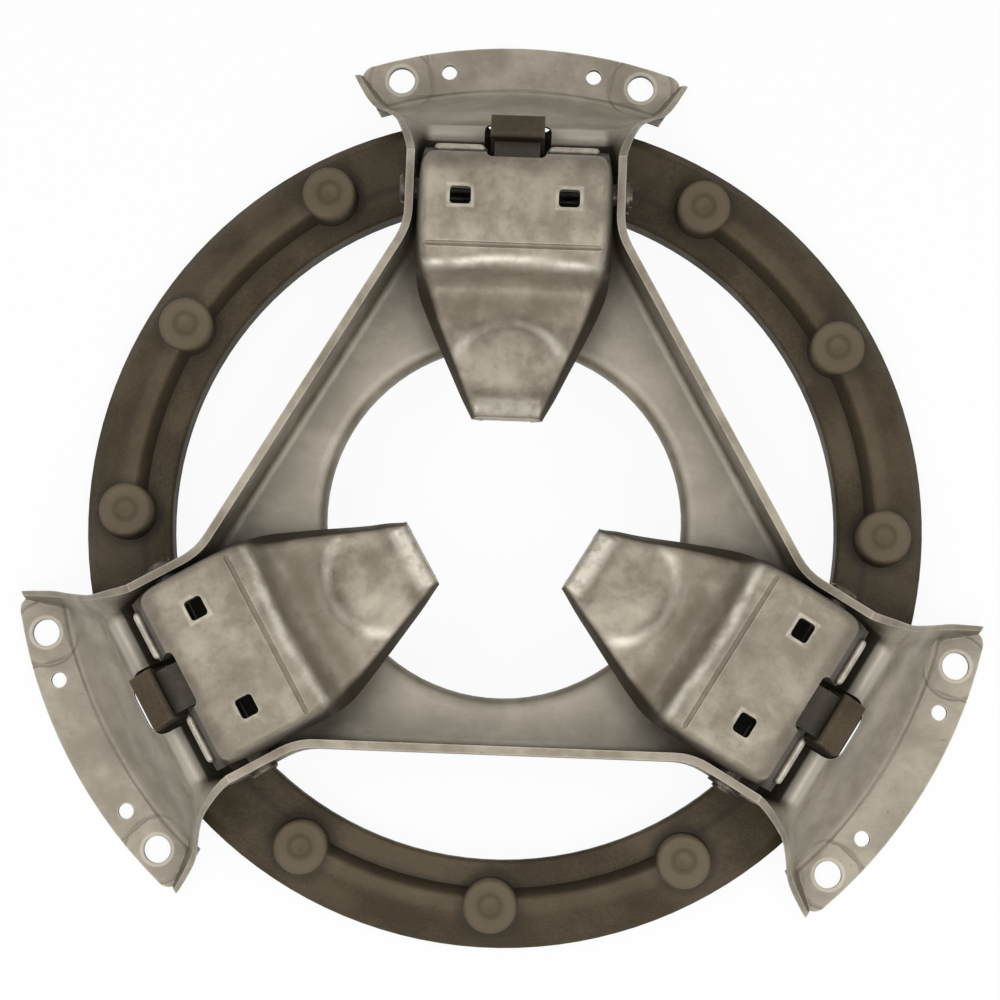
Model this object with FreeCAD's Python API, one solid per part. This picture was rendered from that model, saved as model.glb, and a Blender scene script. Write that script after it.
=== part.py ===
"""Three-lever clutch pressure plate, seen from the gearbox side.

All sizes are millimetres. The origin is on the clutch axis, in the plane of the
three ear faces that bolt to the flywheel, and +Z points to the gearbox.
Each arm is drawn along +X of its own frame (x along the arm, y across it) and
then turned to its place, so the first arm points along +Y.
"""
import FreeCAD, Part
import math
import os
from FreeCAD import Vector

os.makedirs("parts", exist_ok=True)

# Arms and their pivot line
ARMS = 3
FIRST_ARM_DEG = 90.0
AXIS_Z = Vector(0, 0, 1)
PIN_X = 99.4
PIN_Z = 46.0

# Cover: the pressed sheet and its arms
SHEET = 2.5
ARM_HALF_WIDTH = 32.3
FLOOR_DEPTH = 16.0
WALL_RISE = 8.0
FLOOR_TOP_Z = PIN_Z - FLOOR_DEPTH
WALL_TOP_Z = PIN_Z + WALL_RISE

# Pressure spring, its cup and its seat
SPRING_INBOARD = 21.9
SPRING_X = PIN_X - SPRING_INBOARD
SPRING_OUTER_RADIUS = 13.5
SPRING_WIRE = 4.6
SPRING_TURNS = 3.6
SPRING_END_GAP = 0.3
SPRING_TOP_DEPTH = 1.5
SPRING_TOP_Z = PIN_Z - SPRING_TOP_DEPTH
CUP_SHEET = 1.6
CUP_SPRING_CLEARANCE = 0.7
CUP_BORE_RADIUS = SPRING_OUTER_RADIUS + CUP_SPRING_CLEARANCE
CUP_DEPTH = 14.0
CUP_LIP = 1.9
CUP_DRAIN_RADIUS = 5.0
CUP_HOLE_CLEARANCE = 0.2
SEAT_DISC_THICKNESS = 2.0
SEAT_PILOT_LENGTH = 3.0
SEAT_PILOT_CLEARANCE = 0.7
SEAT_SHOULDER = 6.0
SEAT_CONE_BASE = SPRING_OUTER_RADIUS - SEAT_SHOULDER
SEAT_PEAK_RISE = 12.8
SEAT_PEAK_Z = PIN_Z + SEAT_PEAK_RISE
SEAT_PEAK_RADIUS = 1.5

# Cover: hub hole and tray
HUB_CUP_DISTANCE = 6.8
HUB_HOLE_RADIUS = SPRING_X - CUP_BORE_RADIUS - CUP_SHEET - HUB_CUP_DISTANCE
HUB_RIM_DEPTH = 7.3
HUB_RIM_LAND = 2.6
HUB_BEND_RADIUS = 2.0
HUB_WALL_DISTANCE = 16.4
WALL_DISTANCE = HUB_HOLE_RADIUS + HUB_WALL_DISTANCE
TRAY_KNEE_RADIUS = 20.0
TRAY_BEND_RADIUS = 2.5
TRAY_END_REACH = 10.6
TRAY_END_X = PIN_X + TRAY_END_REACH
TRAY_OVERRUN = 15.0
TRAY_OVERRUN_CORNER = 8.0

# Lever and nose
LEVER_SHEET = 3.5
LEVER_SIDE_CLEARANCE = 1.25
LEVER_HALF_WIDTH = ARM_HALF_WIDTH - SHEET / 2 - LEVER_SIDE_CLEARANCE
NOSE_REACH = 17.6
NOSE_DEPTH = 3.4
NOSE_X = PIN_X + NOSE_REACH
NOSE_Z = PIN_Z - NOSE_DEPTH
NOSE_CLEARANCE = 0.3
NOSE_SWING_ROOM = 0.75
LEVER_EAR_INSET = 2.4
LEVER_EAR_OUTER = LEVER_HALF_WIDTH - LEVER_EAR_INSET
LEVER_EAR_THICKNESS = 3.0
LEVER_EAR_RADIUS = 7.6
TONGUE_HALF_WIDTH = 7.0
TONGUE_PIN_GAP = 0.6
TONGUE_BEND_RADIUS = 1.2
LEVER_GAP_CLEARANCE = 0.8
LEVER_GAP_REACH = 7.2
LEVER_GAP_INNER_X = PIN_X + LEVER_GAP_REACH
CREASE_SEAT_OFFSET = 1.9
CREASE_X = SPRING_X + CREASE_SEAT_OFFSET
CREASE_RISE = 17.5
CREASE_Z = PIN_Z + CREASE_RISE
CREASE_RADIUS = 0.9
CREASE_EDGE_DISTANCE = 2.8
CREASE_HALF_WIDTH = LEVER_HALF_WIDTH - CREASE_EDGE_DISTANCE
SQUARE_HOLE_INBOARD = 5.2
SQUARE_HOLE_X = PIN_X - SQUARE_HOLE_INBOARD
SQUARE_HOLE_Y = 16.4
SQUARE_HOLE_WIDTH = 6.4
SQUARE_HOLE_LENGTH = 5.5
SQUARE_HOLE_CORNER = 1.2

# Driving lug and its hook
LUG_HALF_WIDTH = 8.3
LUG_BACK = 6.5
LUG_OUTER_X = NOSE_X + LUG_BACK
LUG_SHOULDER_Z = PIN_Z
LUG_PEAK_OUTBOARD = 0.2
LUG_PEAK_X = NOSE_X + LUG_PEAK_OUTBOARD
LUG_PEAK_RISE = 5.0
LUG_PEAK_Z = LUG_SHOULDER_Z + LUG_PEAK_RISE
LUG_FACE_INBOARD = 1.6
LUG_FACE_X = NOSE_X - LUG_FACE_INBOARD
LUG_FOOT_INBOARD = 4.6
LUG_FOOT_X = NOSE_X - LUG_FOOT_INBOARD
LUG_DRAFT = 1.2
THROAT_SLOPE = 2.6

# Cover: spout, notch and ears
SPOUT_BEND = 6.6
SPOUT_OVERLAP = 2.0
SPOUT_LENGTH = 9.5
RIDGE_X = TRAY_END_X + SPOUT_LENGTH
RIDGE_RISE = 7.2
RIDGE_Z = FLOOR_TOP_Z + RIDGE_RISE
RAMP_LENGTH = 21.5
EAR_FOLD_RADIUS = RIDGE_X + RAMP_LENGTH
EAR_FOLD_SOFTNESS = 1.6
EAR_HALF_WIDTH = 53.4
EAR_CORNER_RADIUS = 4.5
NOTCH_SIDE_CLEARANCE = 2.1
NOTCH_LENGTH = 22.4
NOTCH_END_CLEARANCE = 2.9
NOTCH_CORNER_RADIUS = 6.5

# Bolting
BOLT_FOLD_DISTANCE = 8.25
BOLT_CIRCLE_RADIUS = EAR_FOLD_RADIUS + BOLT_FOLD_DISTANCE
BOLT_EDGE_DISTANCE = 6.75
EAR_OUTER_RADIUS = BOLT_CIRCLE_RADIUS + BOLT_EDGE_DISTANCE
BOLT_HOLE_RADIUS = 4.25
BOLT_HALF_ANGLE = 15.0
DOWEL_HOLE_RADIUS = 2.45
DOWEL_HALF_ANGLE = 9.0

# Pressure ring
RING_FACE_Z = 0.4
RING_THICKNESS = 10.6
RING_RIM_DISTANCE = 8.5
RING_OUTER_RADIUS = LUG_OUTER_X + RING_RIM_DISTANCE
RING_WIDTH = 27.3
RING_INNER_RADIUS = RING_OUTER_RADIUS - RING_WIDTH
RING_CHAMFER = 1.4
RIM_BEVEL_WIDTH = 3.2
RIM_BEVEL_HEIGHT = 3.6
RIB_RIM_DISTANCE = 3.0
RIB_SLOPE_WIDTH = 8.4
RIB_TOP_WIDTH = 4.4
RIB_FLANK_WIDTH = 3.0
RIB_OUTER_FOOT = RING_OUTER_RADIUS - RIB_RIM_DISTANCE
RIB_SHOULDER = RIB_OUTER_FOOT - RIB_SLOPE_WIDTH
RIB_CREST = RIB_SHOULDER - RIB_TOP_WIDTH
RIB_INNER_FOOT = RIB_CREST - RIB_FLANK_WIDTH
RIB_HEIGHT = 6.4
BOSS_RIM_DISTANCE = 13.4
BOSS_CIRCLE_RADIUS = RING_OUTER_RADIUS - BOSS_RIM_DISTANCE
BOSS_RADIUS = 8.2
BOSS_HEIGHT = 9.0
BOSS_DRAFT = 1.0
BOSS_DIMPLE_RADIUS = 3.0
BOSS_DIMPLE_DEPTH = 1.2
BOSS_ANGLES = (30.0, 60.0, 90.0)
RELIEF_LUG_DISTANCE = 3.3
RELIEF_RADIUS = LUG_OUTER_X + RELIEF_LUG_DISTANCE
RELIEF_EDGE_DISTANCE = 1.7
RELIEF_HALF_WIDTH = LUG_HALF_WIDTH + RELIEF_EDGE_DISTANCE

# Pivot pin
PIN_RADIUS = 3.5
PIN_HEAD_RADIUS = 4.4
PIN_HEAD_THICKNESS = 1.9
PIN_PROJECTION = 1.8
PIN_RUNNING_CLEARANCE = 0.05
PIN_SEAT_CLEARANCE = 0.02

# Retaining clip
CLIP_THICKNESS = 1.0
CLIP_WIDTH = 1.9
CLIP_OUTER_RADIUS = PIN_RADIUS + CLIP_WIDTH
CLIP_GAP = 0.1
CLIP_GROOVE_DEPTH = 0.7
CLIP_MOUTH = 3.6


def turned(shape, degrees):
    """A copy of a shape turned about the clutch axis."""
    copy = shape.copy()
    copy.rotate(Vector(0, 0, 0), AXIS_Z, degrees)
    return copy


def arm_angle(index):
    """Direction of one arm in degrees."""
    return FIRST_ARM_DEG + 360.0 / ARMS * index


def on_every_arm(shape):
    """Copies of a shape on all the arms."""
    return [turned(shape, arm_angle(index)) for index in range(ARMS)]


def rounded_wire(corners, place):
    """Closed outline through (u, v, radius) corners, its corners turned into arcs."""
    count = len(corners)
    starts = []
    ends = []
    middles = []
    for index, (u, v, radius) in enumerate(corners):
        corner = Vector(u, v, 0)
        before = Vector(corners[index - 1][0], corners[index - 1][1], 0)
        after = Vector(corners[(index + 1) % count][0], corners[(index + 1) % count][1], 0)
        back = (before - corner).normalize()
        ahead = (after - corner).normalize()
        half_angle = back.getAngle(ahead) / 2
        reach = radius / math.tan(half_angle) if radius > 0 else 0.0
        starts.append(corner + back * reach)
        ends.append(corner + ahead * reach)
        bisector = back + ahead
        if radius > 0 and bisector.Length > 1e-9:
            bisector.normalize()
            middles.append(corner + bisector * (radius / math.sin(half_angle) - radius))
        else:
            middles.append(None)
    edges = []
    for index in range(count):
        if middles[index] is not None:
            arc_points = (starts[index], middles[index], ends[index])
            edges.append(Part.Arc(*[place(point.x, point.y) for point in arc_points]).toShape())
        line_start = ends[index]
        line_end = starts[(index + 1) % count]
        if (line_end - line_start).Length > 1e-6:
            edges.append(Part.LineSegment(place(line_start.x, line_start.y),
                                          place(line_end.x, line_end.y)).toShape())
    return Part.Wire(edges)


def flat(z):
    """Placer for outlines drawn in plan at one height."""
    return lambda u, v: Vector(u, v, z)


def upright(y):
    """Placer for side profiles drawn as (x, z) at one distance across the arm."""
    return lambda u, v: Vector(u, y, v)


def prism(corners, low, high):
    """Plan outline raised from one height to another."""
    face = Part.Face(rounded_wire(corners, flat(low)))
    return face.extrude(Vector(0, 0, high - low))


def side_prism(corners, y_low, y_high):
    """Side profile carried across the arm."""
    face = Part.Face(rounded_wire(corners, upright(y_low)))
    return face.extrude(Vector(0, y_high - y_low, 0))


def turned_body(corners, x=0.0):
    """Body of revolution about an upright axis, from a (radius, z, corner) profile."""
    face = Part.Face(rounded_wire(corners, lambda u, v: Vector(u, 0, v)))
    body = face.revolve(Vector(0, 0, 0), AXIS_Z, 360)
    body.translate(Vector(x, 0, 0))
    return body


def upright_cylinder(radius, low, high, x=0.0, y=0.0):
    """Upright cylinder between two heights."""
    return Part.makeCylinder(radius, high - low, Vector(x, y, low), AXIS_Z)


def cross_cylinder(radius, y_low, y_high):
    """Cylinder across the arm on the pivot line."""
    return Part.makeCylinder(radius, y_high - y_low, Vector(PIN_X, y_low, PIN_Z), Vector(0, 1, 0))


def offset_points(points, distance):
    """An open chain of (u, v) points moved sideways, mitred at its corners."""
    moved = []
    last = len(points) - 1
    for index, (u, v) in enumerate(points):
        here = Vector(u, v, 0)
        normals = []
        if index > 0:
            step = here - Vector(points[index - 1][0], points[index - 1][1], 0)
            normals.append(Vector(-step.y, step.x, 0).normalize())
        if index < last:
            step = Vector(points[index + 1][0], points[index + 1][1], 0) - here
            normals.append(Vector(-step.y, step.x, 0).normalize())
        normal = normals[0] if len(normals) == 1 else (normals[0] + normals[1]).normalize()
        spot = here + normal * (distance / normal.dot(normals[0]))
        moved.append((spot.x, spot.y))
    return moved


def spline_edge(points, place):
    """Smooth edge steered by a chain of (u, v) points."""
    curve = Part.BSplineCurve()
    curve.buildFromPoles([place(u, v) for u, v in points], False, 3)
    return curve.toShape()


def sheet_section(half_points, above, below, place):
    """Closed cross-section of bent sheet, symmetric about the arm.

    half_points run from the middle of the sheet to its edge; above and below are
    how far the two faces lie from that line.
    """
    chain = [(-u, v) for u, v in reversed(half_points[1:])] + list(half_points)
    upper = offset_points(chain, above)
    lower = offset_points(chain, -below)
    upper_edge = spline_edge(upper, place)
    lower_edge = spline_edge(lower, place)
    right_end = Part.LineSegment(place(*upper[-1]), place(*lower[-1])).toShape()
    left_end = Part.LineSegment(place(*lower[0]), place(*upper[0])).toShape()
    return Part.Wire([upper_edge, right_end, lower_edge, left_end])


def tray_outline(offset, end_x, end_radius):
    """Plan outline of the tray, its wall line moved outwards by an offset."""
    half_width = ARM_HALF_WIDTH + offset
    half_step = math.radians(180.0 / ARMS)
    distance = WALL_DISTANCE + offset
    knee_x = (distance - half_width * math.sin(half_step)) / math.cos(half_step)
    knee_radius = TRAY_KNEE_RADIUS - offset
    corners = []
    for index in range(ARMS):
        angle = math.radians(arm_angle(index))
        for x, y, radius in ((knee_x, -half_width, knee_radius), (end_x, -half_width, end_radius),
                             (end_x, half_width, end_radius), (knee_x, half_width, knee_radius)):
            corners.append((x * math.cos(angle) - y * math.sin(angle),
                            x * math.sin(angle) + y * math.cos(angle), radius))
    return corners


def bottom_edges(shape, z):
    """Edges of a shape that lie flat at one height."""
    return [edge for edge in shape.Edges
            if abs(edge.BoundBox.ZMin - z) < 1e-6 and abs(edge.BoundBox.ZMax - z) < 1e-6]


def make_tray():
    """Floor and upright walls of the cover, open at the three arm ends."""
    overrun = TRAY_END_X + TRAY_OVERRUN
    floor_low = FLOOR_TOP_Z - SHEET
    outside = prism(tray_outline(SHEET / 2, overrun, TRAY_OVERRUN_CORNER), floor_low, WALL_TOP_Z)
    outside = outside.makeFillet(TRAY_BEND_RADIUS + SHEET, bottom_edges(outside, floor_low))
    inner_corner = TRAY_OVERRUN_CORNER - SHEET
    inside = prism(tray_outline(-SHEET / 2, overrun - SHEET, inner_corner), FLOOR_TOP_Z, WALL_TOP_Z + SHEET)
    inside = inside.makeFillet(TRAY_BEND_RADIUS, bottom_edges(inside, FLOOR_TOP_Z))
    tray = outside.cut(inside)
    half_span = 2 * ARM_HALF_WIDTH
    beyond = Part.makeBox(2 * TRAY_OVERRUN, 2 * half_span, WALL_TOP_Z, Vector(TRAY_END_X, -half_span, 0))
    return tray.cut(on_every_arm(beyond))


def make_hub_rim():
    """Ring of floor round the hub hole with its edge turned down."""
    bend_x = HUB_HOLE_RADIUS + SHEET + HUB_BEND_RADIUS
    outer_x = bend_x + HUB_RIM_LAND
    low = FLOOR_TOP_Z - HUB_RIM_DEPTH
    rim = turned_body([
        (outer_x, FLOOR_TOP_Z, 0),
        (HUB_HOLE_RADIUS, FLOOR_TOP_Z, HUB_BEND_RADIUS + SHEET),
        (HUB_HOLE_RADIUS, low, 0.6),
        (HUB_HOLE_RADIUS + SHEET, low, 0.6),
        (HUB_HOLE_RADIUS + SHEET, FLOOR_TOP_Z - SHEET, HUB_BEND_RADIUS),
        (outer_x, FLOOR_TOP_Z - SHEET, 0),
    ])
    return rim, outer_x


def ramp_height(x, y):
    """Height of the ramp's upper face between the straight ridge and the round ear fold."""
    radius = math.hypot(x, y)
    ridge_radius = RIDGE_X * radius / x
    share = (EAR_FOLD_RADIUS - radius) / (EAR_FOLD_RADIUS - ridge_radius)
    rise = (RIDGE_Z - SHEET) * min(share, 1.0)
    return SHEET + (rise + math.hypot(rise, EAR_FOLD_SOFTNESS)) / 2


def spout_section(x, foot_y, crest_y, crest_z, thinned=0.0, level=None):
    """Cross-section of the arm end: a floor with two walls that lean outwards.

    thinned takes sheet away so that the end lies inside the piece that it joins.
    """
    half_sheet = (SHEET - thinned) / 2
    steep = math.hypot(1.0, (RIDGE_Z - SHEET) / (EAR_FOLD_RADIUS - RIDGE_X))

    def floor(y):
        if level is not None:
            return level - SHEET / 2
        flatness = min((ramp_height(x, y) - SHEET) / 8.0, 1.0)
        return ramp_height(x, y) - thinned - half_sheet * (1 + (steep - 1) * flatness)

    foot_z = floor(foot_y)
    run = Vector(crest_y - foot_y, crest_z - foot_z, 0)
    bend = min(SPOUT_BEND, run.Length * 0.4)
    toe = run * (bend / run.Length)
    half = [(share * foot_y, floor(share * foot_y)) for share in (0.0, 0.3, 0.6)]
    half.append((foot_y - bend, floor(foot_y - bend)))
    half.append((foot_y, foot_z))
    half.append((foot_y + toe.x, foot_z + toe.y))
    half.append((foot_y + run.x * 0.7, foot_z + run.y * 0.7))
    half.append((crest_y, crest_z))
    return sheet_section(half, half_sheet, half_sheet, lambda u, v: Vector(x, u, v))


SPOUT_PROFILE = (
    # station (-1 at the tray's end, 0 on the ridge, 1 on the ear's fold),
    # foot and crest of the walls as shares of the way from the arm's half width to the ear's,
    # height of the crest as a share of the walls' height, sheet taken away,
    # height of the floor as a share of the way from the tray's to the ridge, where it isn't the ramp's
    (-1.000, 0.000, 0.000, 0.994, 0.7, 0.00),
    (-0.762, -0.019, 0.009, 0.988, 0.0, 0.083),
    (-0.524, -0.081, 0.043, 0.961, 0.0, 0.50),
    (-0.190, -0.156, 0.109, 0.895, 0.0, 1.00),
    (0.070, -0.128, 0.185, 0.786, 0.0, 0.97),
    (0.256, 0.005, 0.289, 0.631, 0.0, None),
    (0.442, 0.194, 0.450, 0.418, 0.0, None),
    (0.605, 0.393, 0.602, 0.214, 0.0, None),
    (0.767, 0.569, 0.730, 0.126, 0.0, None),
    (0.930, 0.701, 0.834, 0.080, 0.2, None),
    (1.070, 0.806, 0.919, 0.056, 0.4, None),
    (1.186, 0.891, 0.981, 0.039, 0.6, None),
)


def make_spout():
    """Arm end that rises to the ridge and falls to the ear between flaring walls."""
    flare = EAR_HALF_WIDTH - ARM_HALF_WIDTH
    sections = []
    for station, foot, crest, height, thinned, step in SPOUT_PROFILE:
        reach = EAR_FOLD_RADIUS - RIDGE_X if station > 0 else RIDGE_X - TRAY_END_X + SPOUT_OVERLAP
        level = None if step is None else FLOOR_TOP_Z + step * (RIDGE_Z - FLOOR_TOP_Z)
        sections.append(spout_section(RIDGE_X + station * reach, ARM_HALF_WIDTH + foot * flare,
                                      ARM_HALF_WIDTH + crest * flare,
                                      SHEET + height * (WALL_TOP_Z - SHEET), thinned, level))
    return Part.makeLoft(sections, True, False)


def make_ear():
    """Flat ear that bolts down, a piece of a ring between two radii."""
    inner = EAR_FOLD_RADIUS - 1.4
    inner_y = EAR_HALF_WIDTH - 8.6
    inner_x = math.sqrt(inner ** 2 - inner_y ** 2)
    outer_y = EAR_HALF_WIDTH + 0.3
    outer_x = math.sqrt(EAR_OUTER_RADIUS ** 2 - outer_y ** 2)
    outer_arc = Part.Arc(Vector(outer_x, -outer_y, 0), Vector(EAR_OUTER_RADIUS, 0, 0),
                         Vector(outer_x, outer_y, 0)).toShape()
    inner_arc = Part.Arc(Vector(inner_x, inner_y, 0), Vector(inner, 0, 0),
                         Vector(inner_x, -inner_y, 0)).toShape()
    left = Part.LineSegment(Vector(outer_x, outer_y, 0), Vector(inner_x, inner_y, 0)).toShape()
    right = Part.LineSegment(Vector(inner_x, -inner_y, 0), Vector(outer_x, -outer_y, 0)).toShape()
    ear = Part.Face(Part.Wire([outer_arc, left, inner_arc, right])).extrude(Vector(0, 0, SHEET))
    corners = [edge for edge in ear.Edges
               if edge.BoundBox.ZLength > SHEET / 2 and edge.BoundBox.XMin > outer_x - 1]
    return ear.makeFillet(EAR_CORNER_RADIUS, corners)


def ear_holes():
    """Bolt and dowel holes of one ear as solid plugs."""
    plugs = []
    for half_angle, radius in ((BOLT_HALF_ANGLE, BOLT_HOLE_RADIUS), (DOWEL_HALF_ANGLE, DOWEL_HOLE_RADIUS)):
        for side in (-1, 1):
            angle = math.radians(side * half_angle)
            plugs.append(upright_cylinder(radius, -1, WALL_TOP_Z, BOLT_CIRCLE_RADIUS * math.cos(angle),
                                          BOLT_CIRCLE_RADIUS * math.sin(angle)))
    return plugs


def make_notch():
    """Opening through the ridge that the lug of the ring passes."""
    half = LUG_HALF_WIDTH + NOTCH_SIDE_CLEARANCE
    outer = LUG_OUTER_X + NOTCH_END_CLEARANCE
    inner = outer - NOTCH_LENGTH
    return prism([(inner, -half, 2), (outer, -half, NOTCH_CORNER_RADIUS),
                  (outer, half, NOTCH_CORNER_RADIUS), (inner, half, 2)], FLOOR_TOP_Z / 2, WALL_TOP_Z)


def make_cover():
    """The whole pressed cover."""
    rim, rim_outer = make_hub_rim()
    tray = make_tray()
    tray = tray.cut(upright_cylinder(rim_outer, FLOOR_TOP_Z - 2 * SHEET, FLOOR_TOP_Z + SHEET))
    arm_end = make_spout().fuse(make_ear())
    cover = tray.fuse([rim] + on_every_arm(arm_end))
    reach = ARM_HALF_WIDTH + 2 * SHEET
    openings = [make_notch(), cross_cylinder(PIN_RADIUS + PIN_SEAT_CLEARANCE, -reach, reach)]
    openings.append(upright_cylinder(CUP_BORE_RADIUS + CUP_SHEET + CUP_HOLE_CLEARANCE,
                                     FLOOR_TOP_Z - 2 * SHEET, FLOOR_TOP_Z + SHEET, SPRING_X))
    openings += ear_holes()
    for opening in openings:
        cover = cover.cut(on_every_arm(opening))
    return cover


def make_lug():
    """Cast lug that drives the ring and hooks over the nose of the lever."""
    gap = LEVER_SHEET / 2 + NOSE_CLEARANCE
    throat_top = NOSE_Z + gap
    throat_low = NOSE_Z - gap
    throat_end = NOSE_X + LEVER_SHEET / 2 + NOSE_SWING_ROOM
    base = RING_FACE_Z + RING_THICKNESS / 2
    return side_prism([
        (LUG_OUTER_X + LUG_DRAFT, base, 0),
        (LUG_OUTER_X, LUG_SHOULDER_Z, 1.2),
        (LUG_PEAK_X, LUG_PEAK_Z, 0.8),
        (LUG_FACE_X, LUG_PEAK_Z - 0.6, 0.8),
        (LUG_FACE_X, throat_top, 0.5),
        (throat_end, throat_top, LEVER_SHEET / 2),
        (throat_end, throat_low, LEVER_SHEET / 2),
        (NOSE_X + 0.4, throat_low, 0.6),
        (LUG_FOOT_X, throat_low - THROAT_SLOPE, 1.5),
        (LUG_FOOT_X - LUG_DRAFT, base, 0),
    ], -LUG_HALF_WIDTH, LUG_HALF_WIDTH)


def make_boss():
    """Round spot boss with a centre dimple, on the X axis."""
    base = RING_FACE_Z + RING_THICKNESS
    top = base + BOSS_HEIGHT
    return turned_body([
        (0, base - 2, 0),
        (BOSS_RADIUS + BOSS_DRAFT, base - 2, 0),
        (BOSS_RADIUS, top, 1.3),
        (BOSS_DIMPLE_RADIUS, top, 0),
        (0, top - BOSS_DIMPLE_DEPTH, 0),
    ], BOSS_CIRCLE_RADIUS)


def make_rib():
    """Raised land of the ring between the first and the last boss of one sector."""
    top = RING_FACE_Z + RING_THICKNESS
    crest = top + RIB_HEIGHT
    outline = rounded_wire([
        (RIB_OUTER_FOOT, top - 1, 0),
        (RIB_OUTER_FOOT, top + 0.2, 0.3),
        (RIB_SHOULDER, crest - 0.6, 3.0),
        (RIB_CREST, crest, 1.6),
        (RIB_INNER_FOOT, top, 0),
        (RIB_INNER_FOOT, top - 1, 0),
    ], lambda u, v: Vector(u, 0, v))
    rib = Part.Face(outline).revolve(Vector(0, 0, 0), AXIS_Z, BOSS_ANGLES[-1] - BOSS_ANGLES[0])
    return turned(rib, BOSS_ANGLES[0])


def make_relief():
    """Pocket in the ring's rim behind the lug, under the ramp."""
    half = RELIEF_HALF_WIDTH
    outer = RING_OUTER_RADIUS + 4
    return prism([(RELIEF_RADIUS, -half, 2), (outer, -half - 1, 0), (outer, half + 1, 0),
                  (RELIEF_RADIUS, half, 2)], RING_FACE_Z - 1, WALL_TOP_Z)


def make_ring():
    """Cast pressure ring with its ribs, bosses and three hooked lugs."""
    top = RING_FACE_Z + RING_THICKNESS
    ring = turned_body([
        (RING_INNER_RADIUS, RING_FACE_Z, 0.5),
        (RING_OUTER_RADIUS, RING_FACE_Z, 0.8),
        (RING_OUTER_RADIUS, top - RIM_BEVEL_HEIGHT, 1.5),
        (RING_OUTER_RADIUS - RIM_BEVEL_WIDTH, top, 2.0),
        (RING_INNER_RADIUS, top, RING_CHAMFER),
    ])
    ring = ring.cut(on_every_arm(make_relief()))
    boss = make_boss()
    additions = on_every_arm(make_lug()) + on_every_arm(make_rib())
    for angle in BOSS_ANGLES:
        additions += on_every_arm(turned(boss, angle))
    return ring.fuse(additions)


LEVER_PROFILE = (
    # distance from the pivot, height of the top over the pivot, lean of the section in degrees,
    # how far the fold and the edge lie inside the lever's half width, drop of the edge,
    # crown of the middle and the share of the width that it spreads over
    (12.8, 1.3, -30, 4.8, 1.5, 0.3, 0, 1),
    (11.7, 2.9, -48, 4.7, 1.5, 0.4, 0, 1),
    (10.8, 6.5, -54, 4.4, 1.3, 1.2, 0, 1),
    (9.7, 11.5, -44, 3.6, 1.1, 3.4, 0, 1),
    (8.2, 15.2, -32, 2.6, 0.8, 6, 0, 1),
    (5.4, 17.3, -20, 1.9, 0.5, 8.5, 0, 1),
    (1.1, 18, -9, 1.6, 0.2, 10.5, 0, 1),
    (-7.4, 18.1, 0, 1.5, 0, 12, 0, 1),
    (-15.4, 18.1, 0, 1.5, 0, 12, 0, 1),
    (-20.4, 17.1, 2, 1.6, 0, 11.6, 0, 1),
    (-23.9, 16.3, 4, 2.1, 0, 11.4, 0, 1),
    (-26.2, 15.2, 9, 2.8, 0, 11, -0.7, 0.8),
    (-28, 11.2, 12, 3.4, 0.1, 9.6, -1, 0.8),
    (-29.6, 7.2, 11, 4, 0.4, 8.2, -0.3, 0.8),
    (-31.6, 5.3, 6, 4.6, 0.9, 7.2, 0, 1),
    (-34.9, 4.7, 1, 5.8, 2.1, 6.6, 0, 1),
    (-38.9, 4.7, 0, 7, 3.8, 6.2, 0.3, 0.35),
    (-41.6, 5, -1, 7.9, 5, 6, 1.6, 0.45),
    (-43.9, 5.5, -2, 8.8, 6.1, 6, 3.2, 0.65),
    (-47.4, 6.3, -3, 10.2, 7.7, 5.8, 3.9, 0.85),
    (-52.9, 7.4, -4, 12.5, 10.3, 5.6, 3.6, 0.92),
    (-58.4, 8.6, -5, 14.9, 12.9, 5.4, 2.6, 0.92),
    (-62.4, 10, -8, 16.6, 14.8, 5, 1.2, 0.9),
    (-65.2, 11.9, -10, 17.8, 16.1, 4.4, 0.3, 0.8),
    (-67.9, 13.3, -10, 18.9, 17.4, 3.8, 0, 1),
    (-71.8, 15.1, -9, 20.5, 19.2, 3, 0, 1),
)


def lever_section(reach, rise, lean, fold_inset, edge_inset, drop, crown, spread):
    """Cross-section of the lever at one station of its profile."""
    tilt = math.radians(lean)
    fold = LEVER_HALF_WIDTH - fold_inset
    edge = LEVER_HALF_WIDTH - edge_inset
    bend = min(4.0, 0.3 * fold)

    def crown_height(share):
        return crown * (1 + math.cos(math.pi * min(share / spread, 1.0))) / 2

    half = [(share * fold, crown_height(share)) for share in (0.0, 0.2, 0.4, 0.6)]
    half += [(fold - bend, 0.0), (fold, 0.0), ((fold + edge) / 2, -drop / 2), (edge, -drop)]

    def place(u, v):
        return Vector(PIN_X + reach - v * math.sin(tilt), u, PIN_Z + rise + v * math.cos(tilt))

    return sheet_section(half, 0.0, LEVER_SHEET, place)


def make_lever_plate():
    """Pressed plate of the lever with its turned-down edges."""
    sections = [lever_section(*station) for station in reversed(LEVER_PROFILE)]
    return Part.makeLoft(sections, True, False)


def make_lever_ear():
    """Side plate that carries the pivot bore, on one side of the lever."""
    inner = LEVER_EAR_OUTER - LEVER_EAR_THICKNESS
    outline = (
        (-19.4, 8.5, 3),
        (-15.4, 15.8, 2),
        (0.1, 15.8, 3),
        (4.4, 14.0, 2),
        (8.5, 6.0, 2),
        (LEVER_EAR_RADIUS, -1.0, 4),
        (3.5, -LEVER_EAR_RADIUS, 5),
        (-5.0, -LEVER_EAR_RADIUS, 5),
        (-13.4, 0.0, 6),
    )
    return side_prism([(PIN_X + along, PIN_Z + rise, radius) for along, rise, radius in outline],
                      inner, LEVER_EAR_OUTER)


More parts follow.
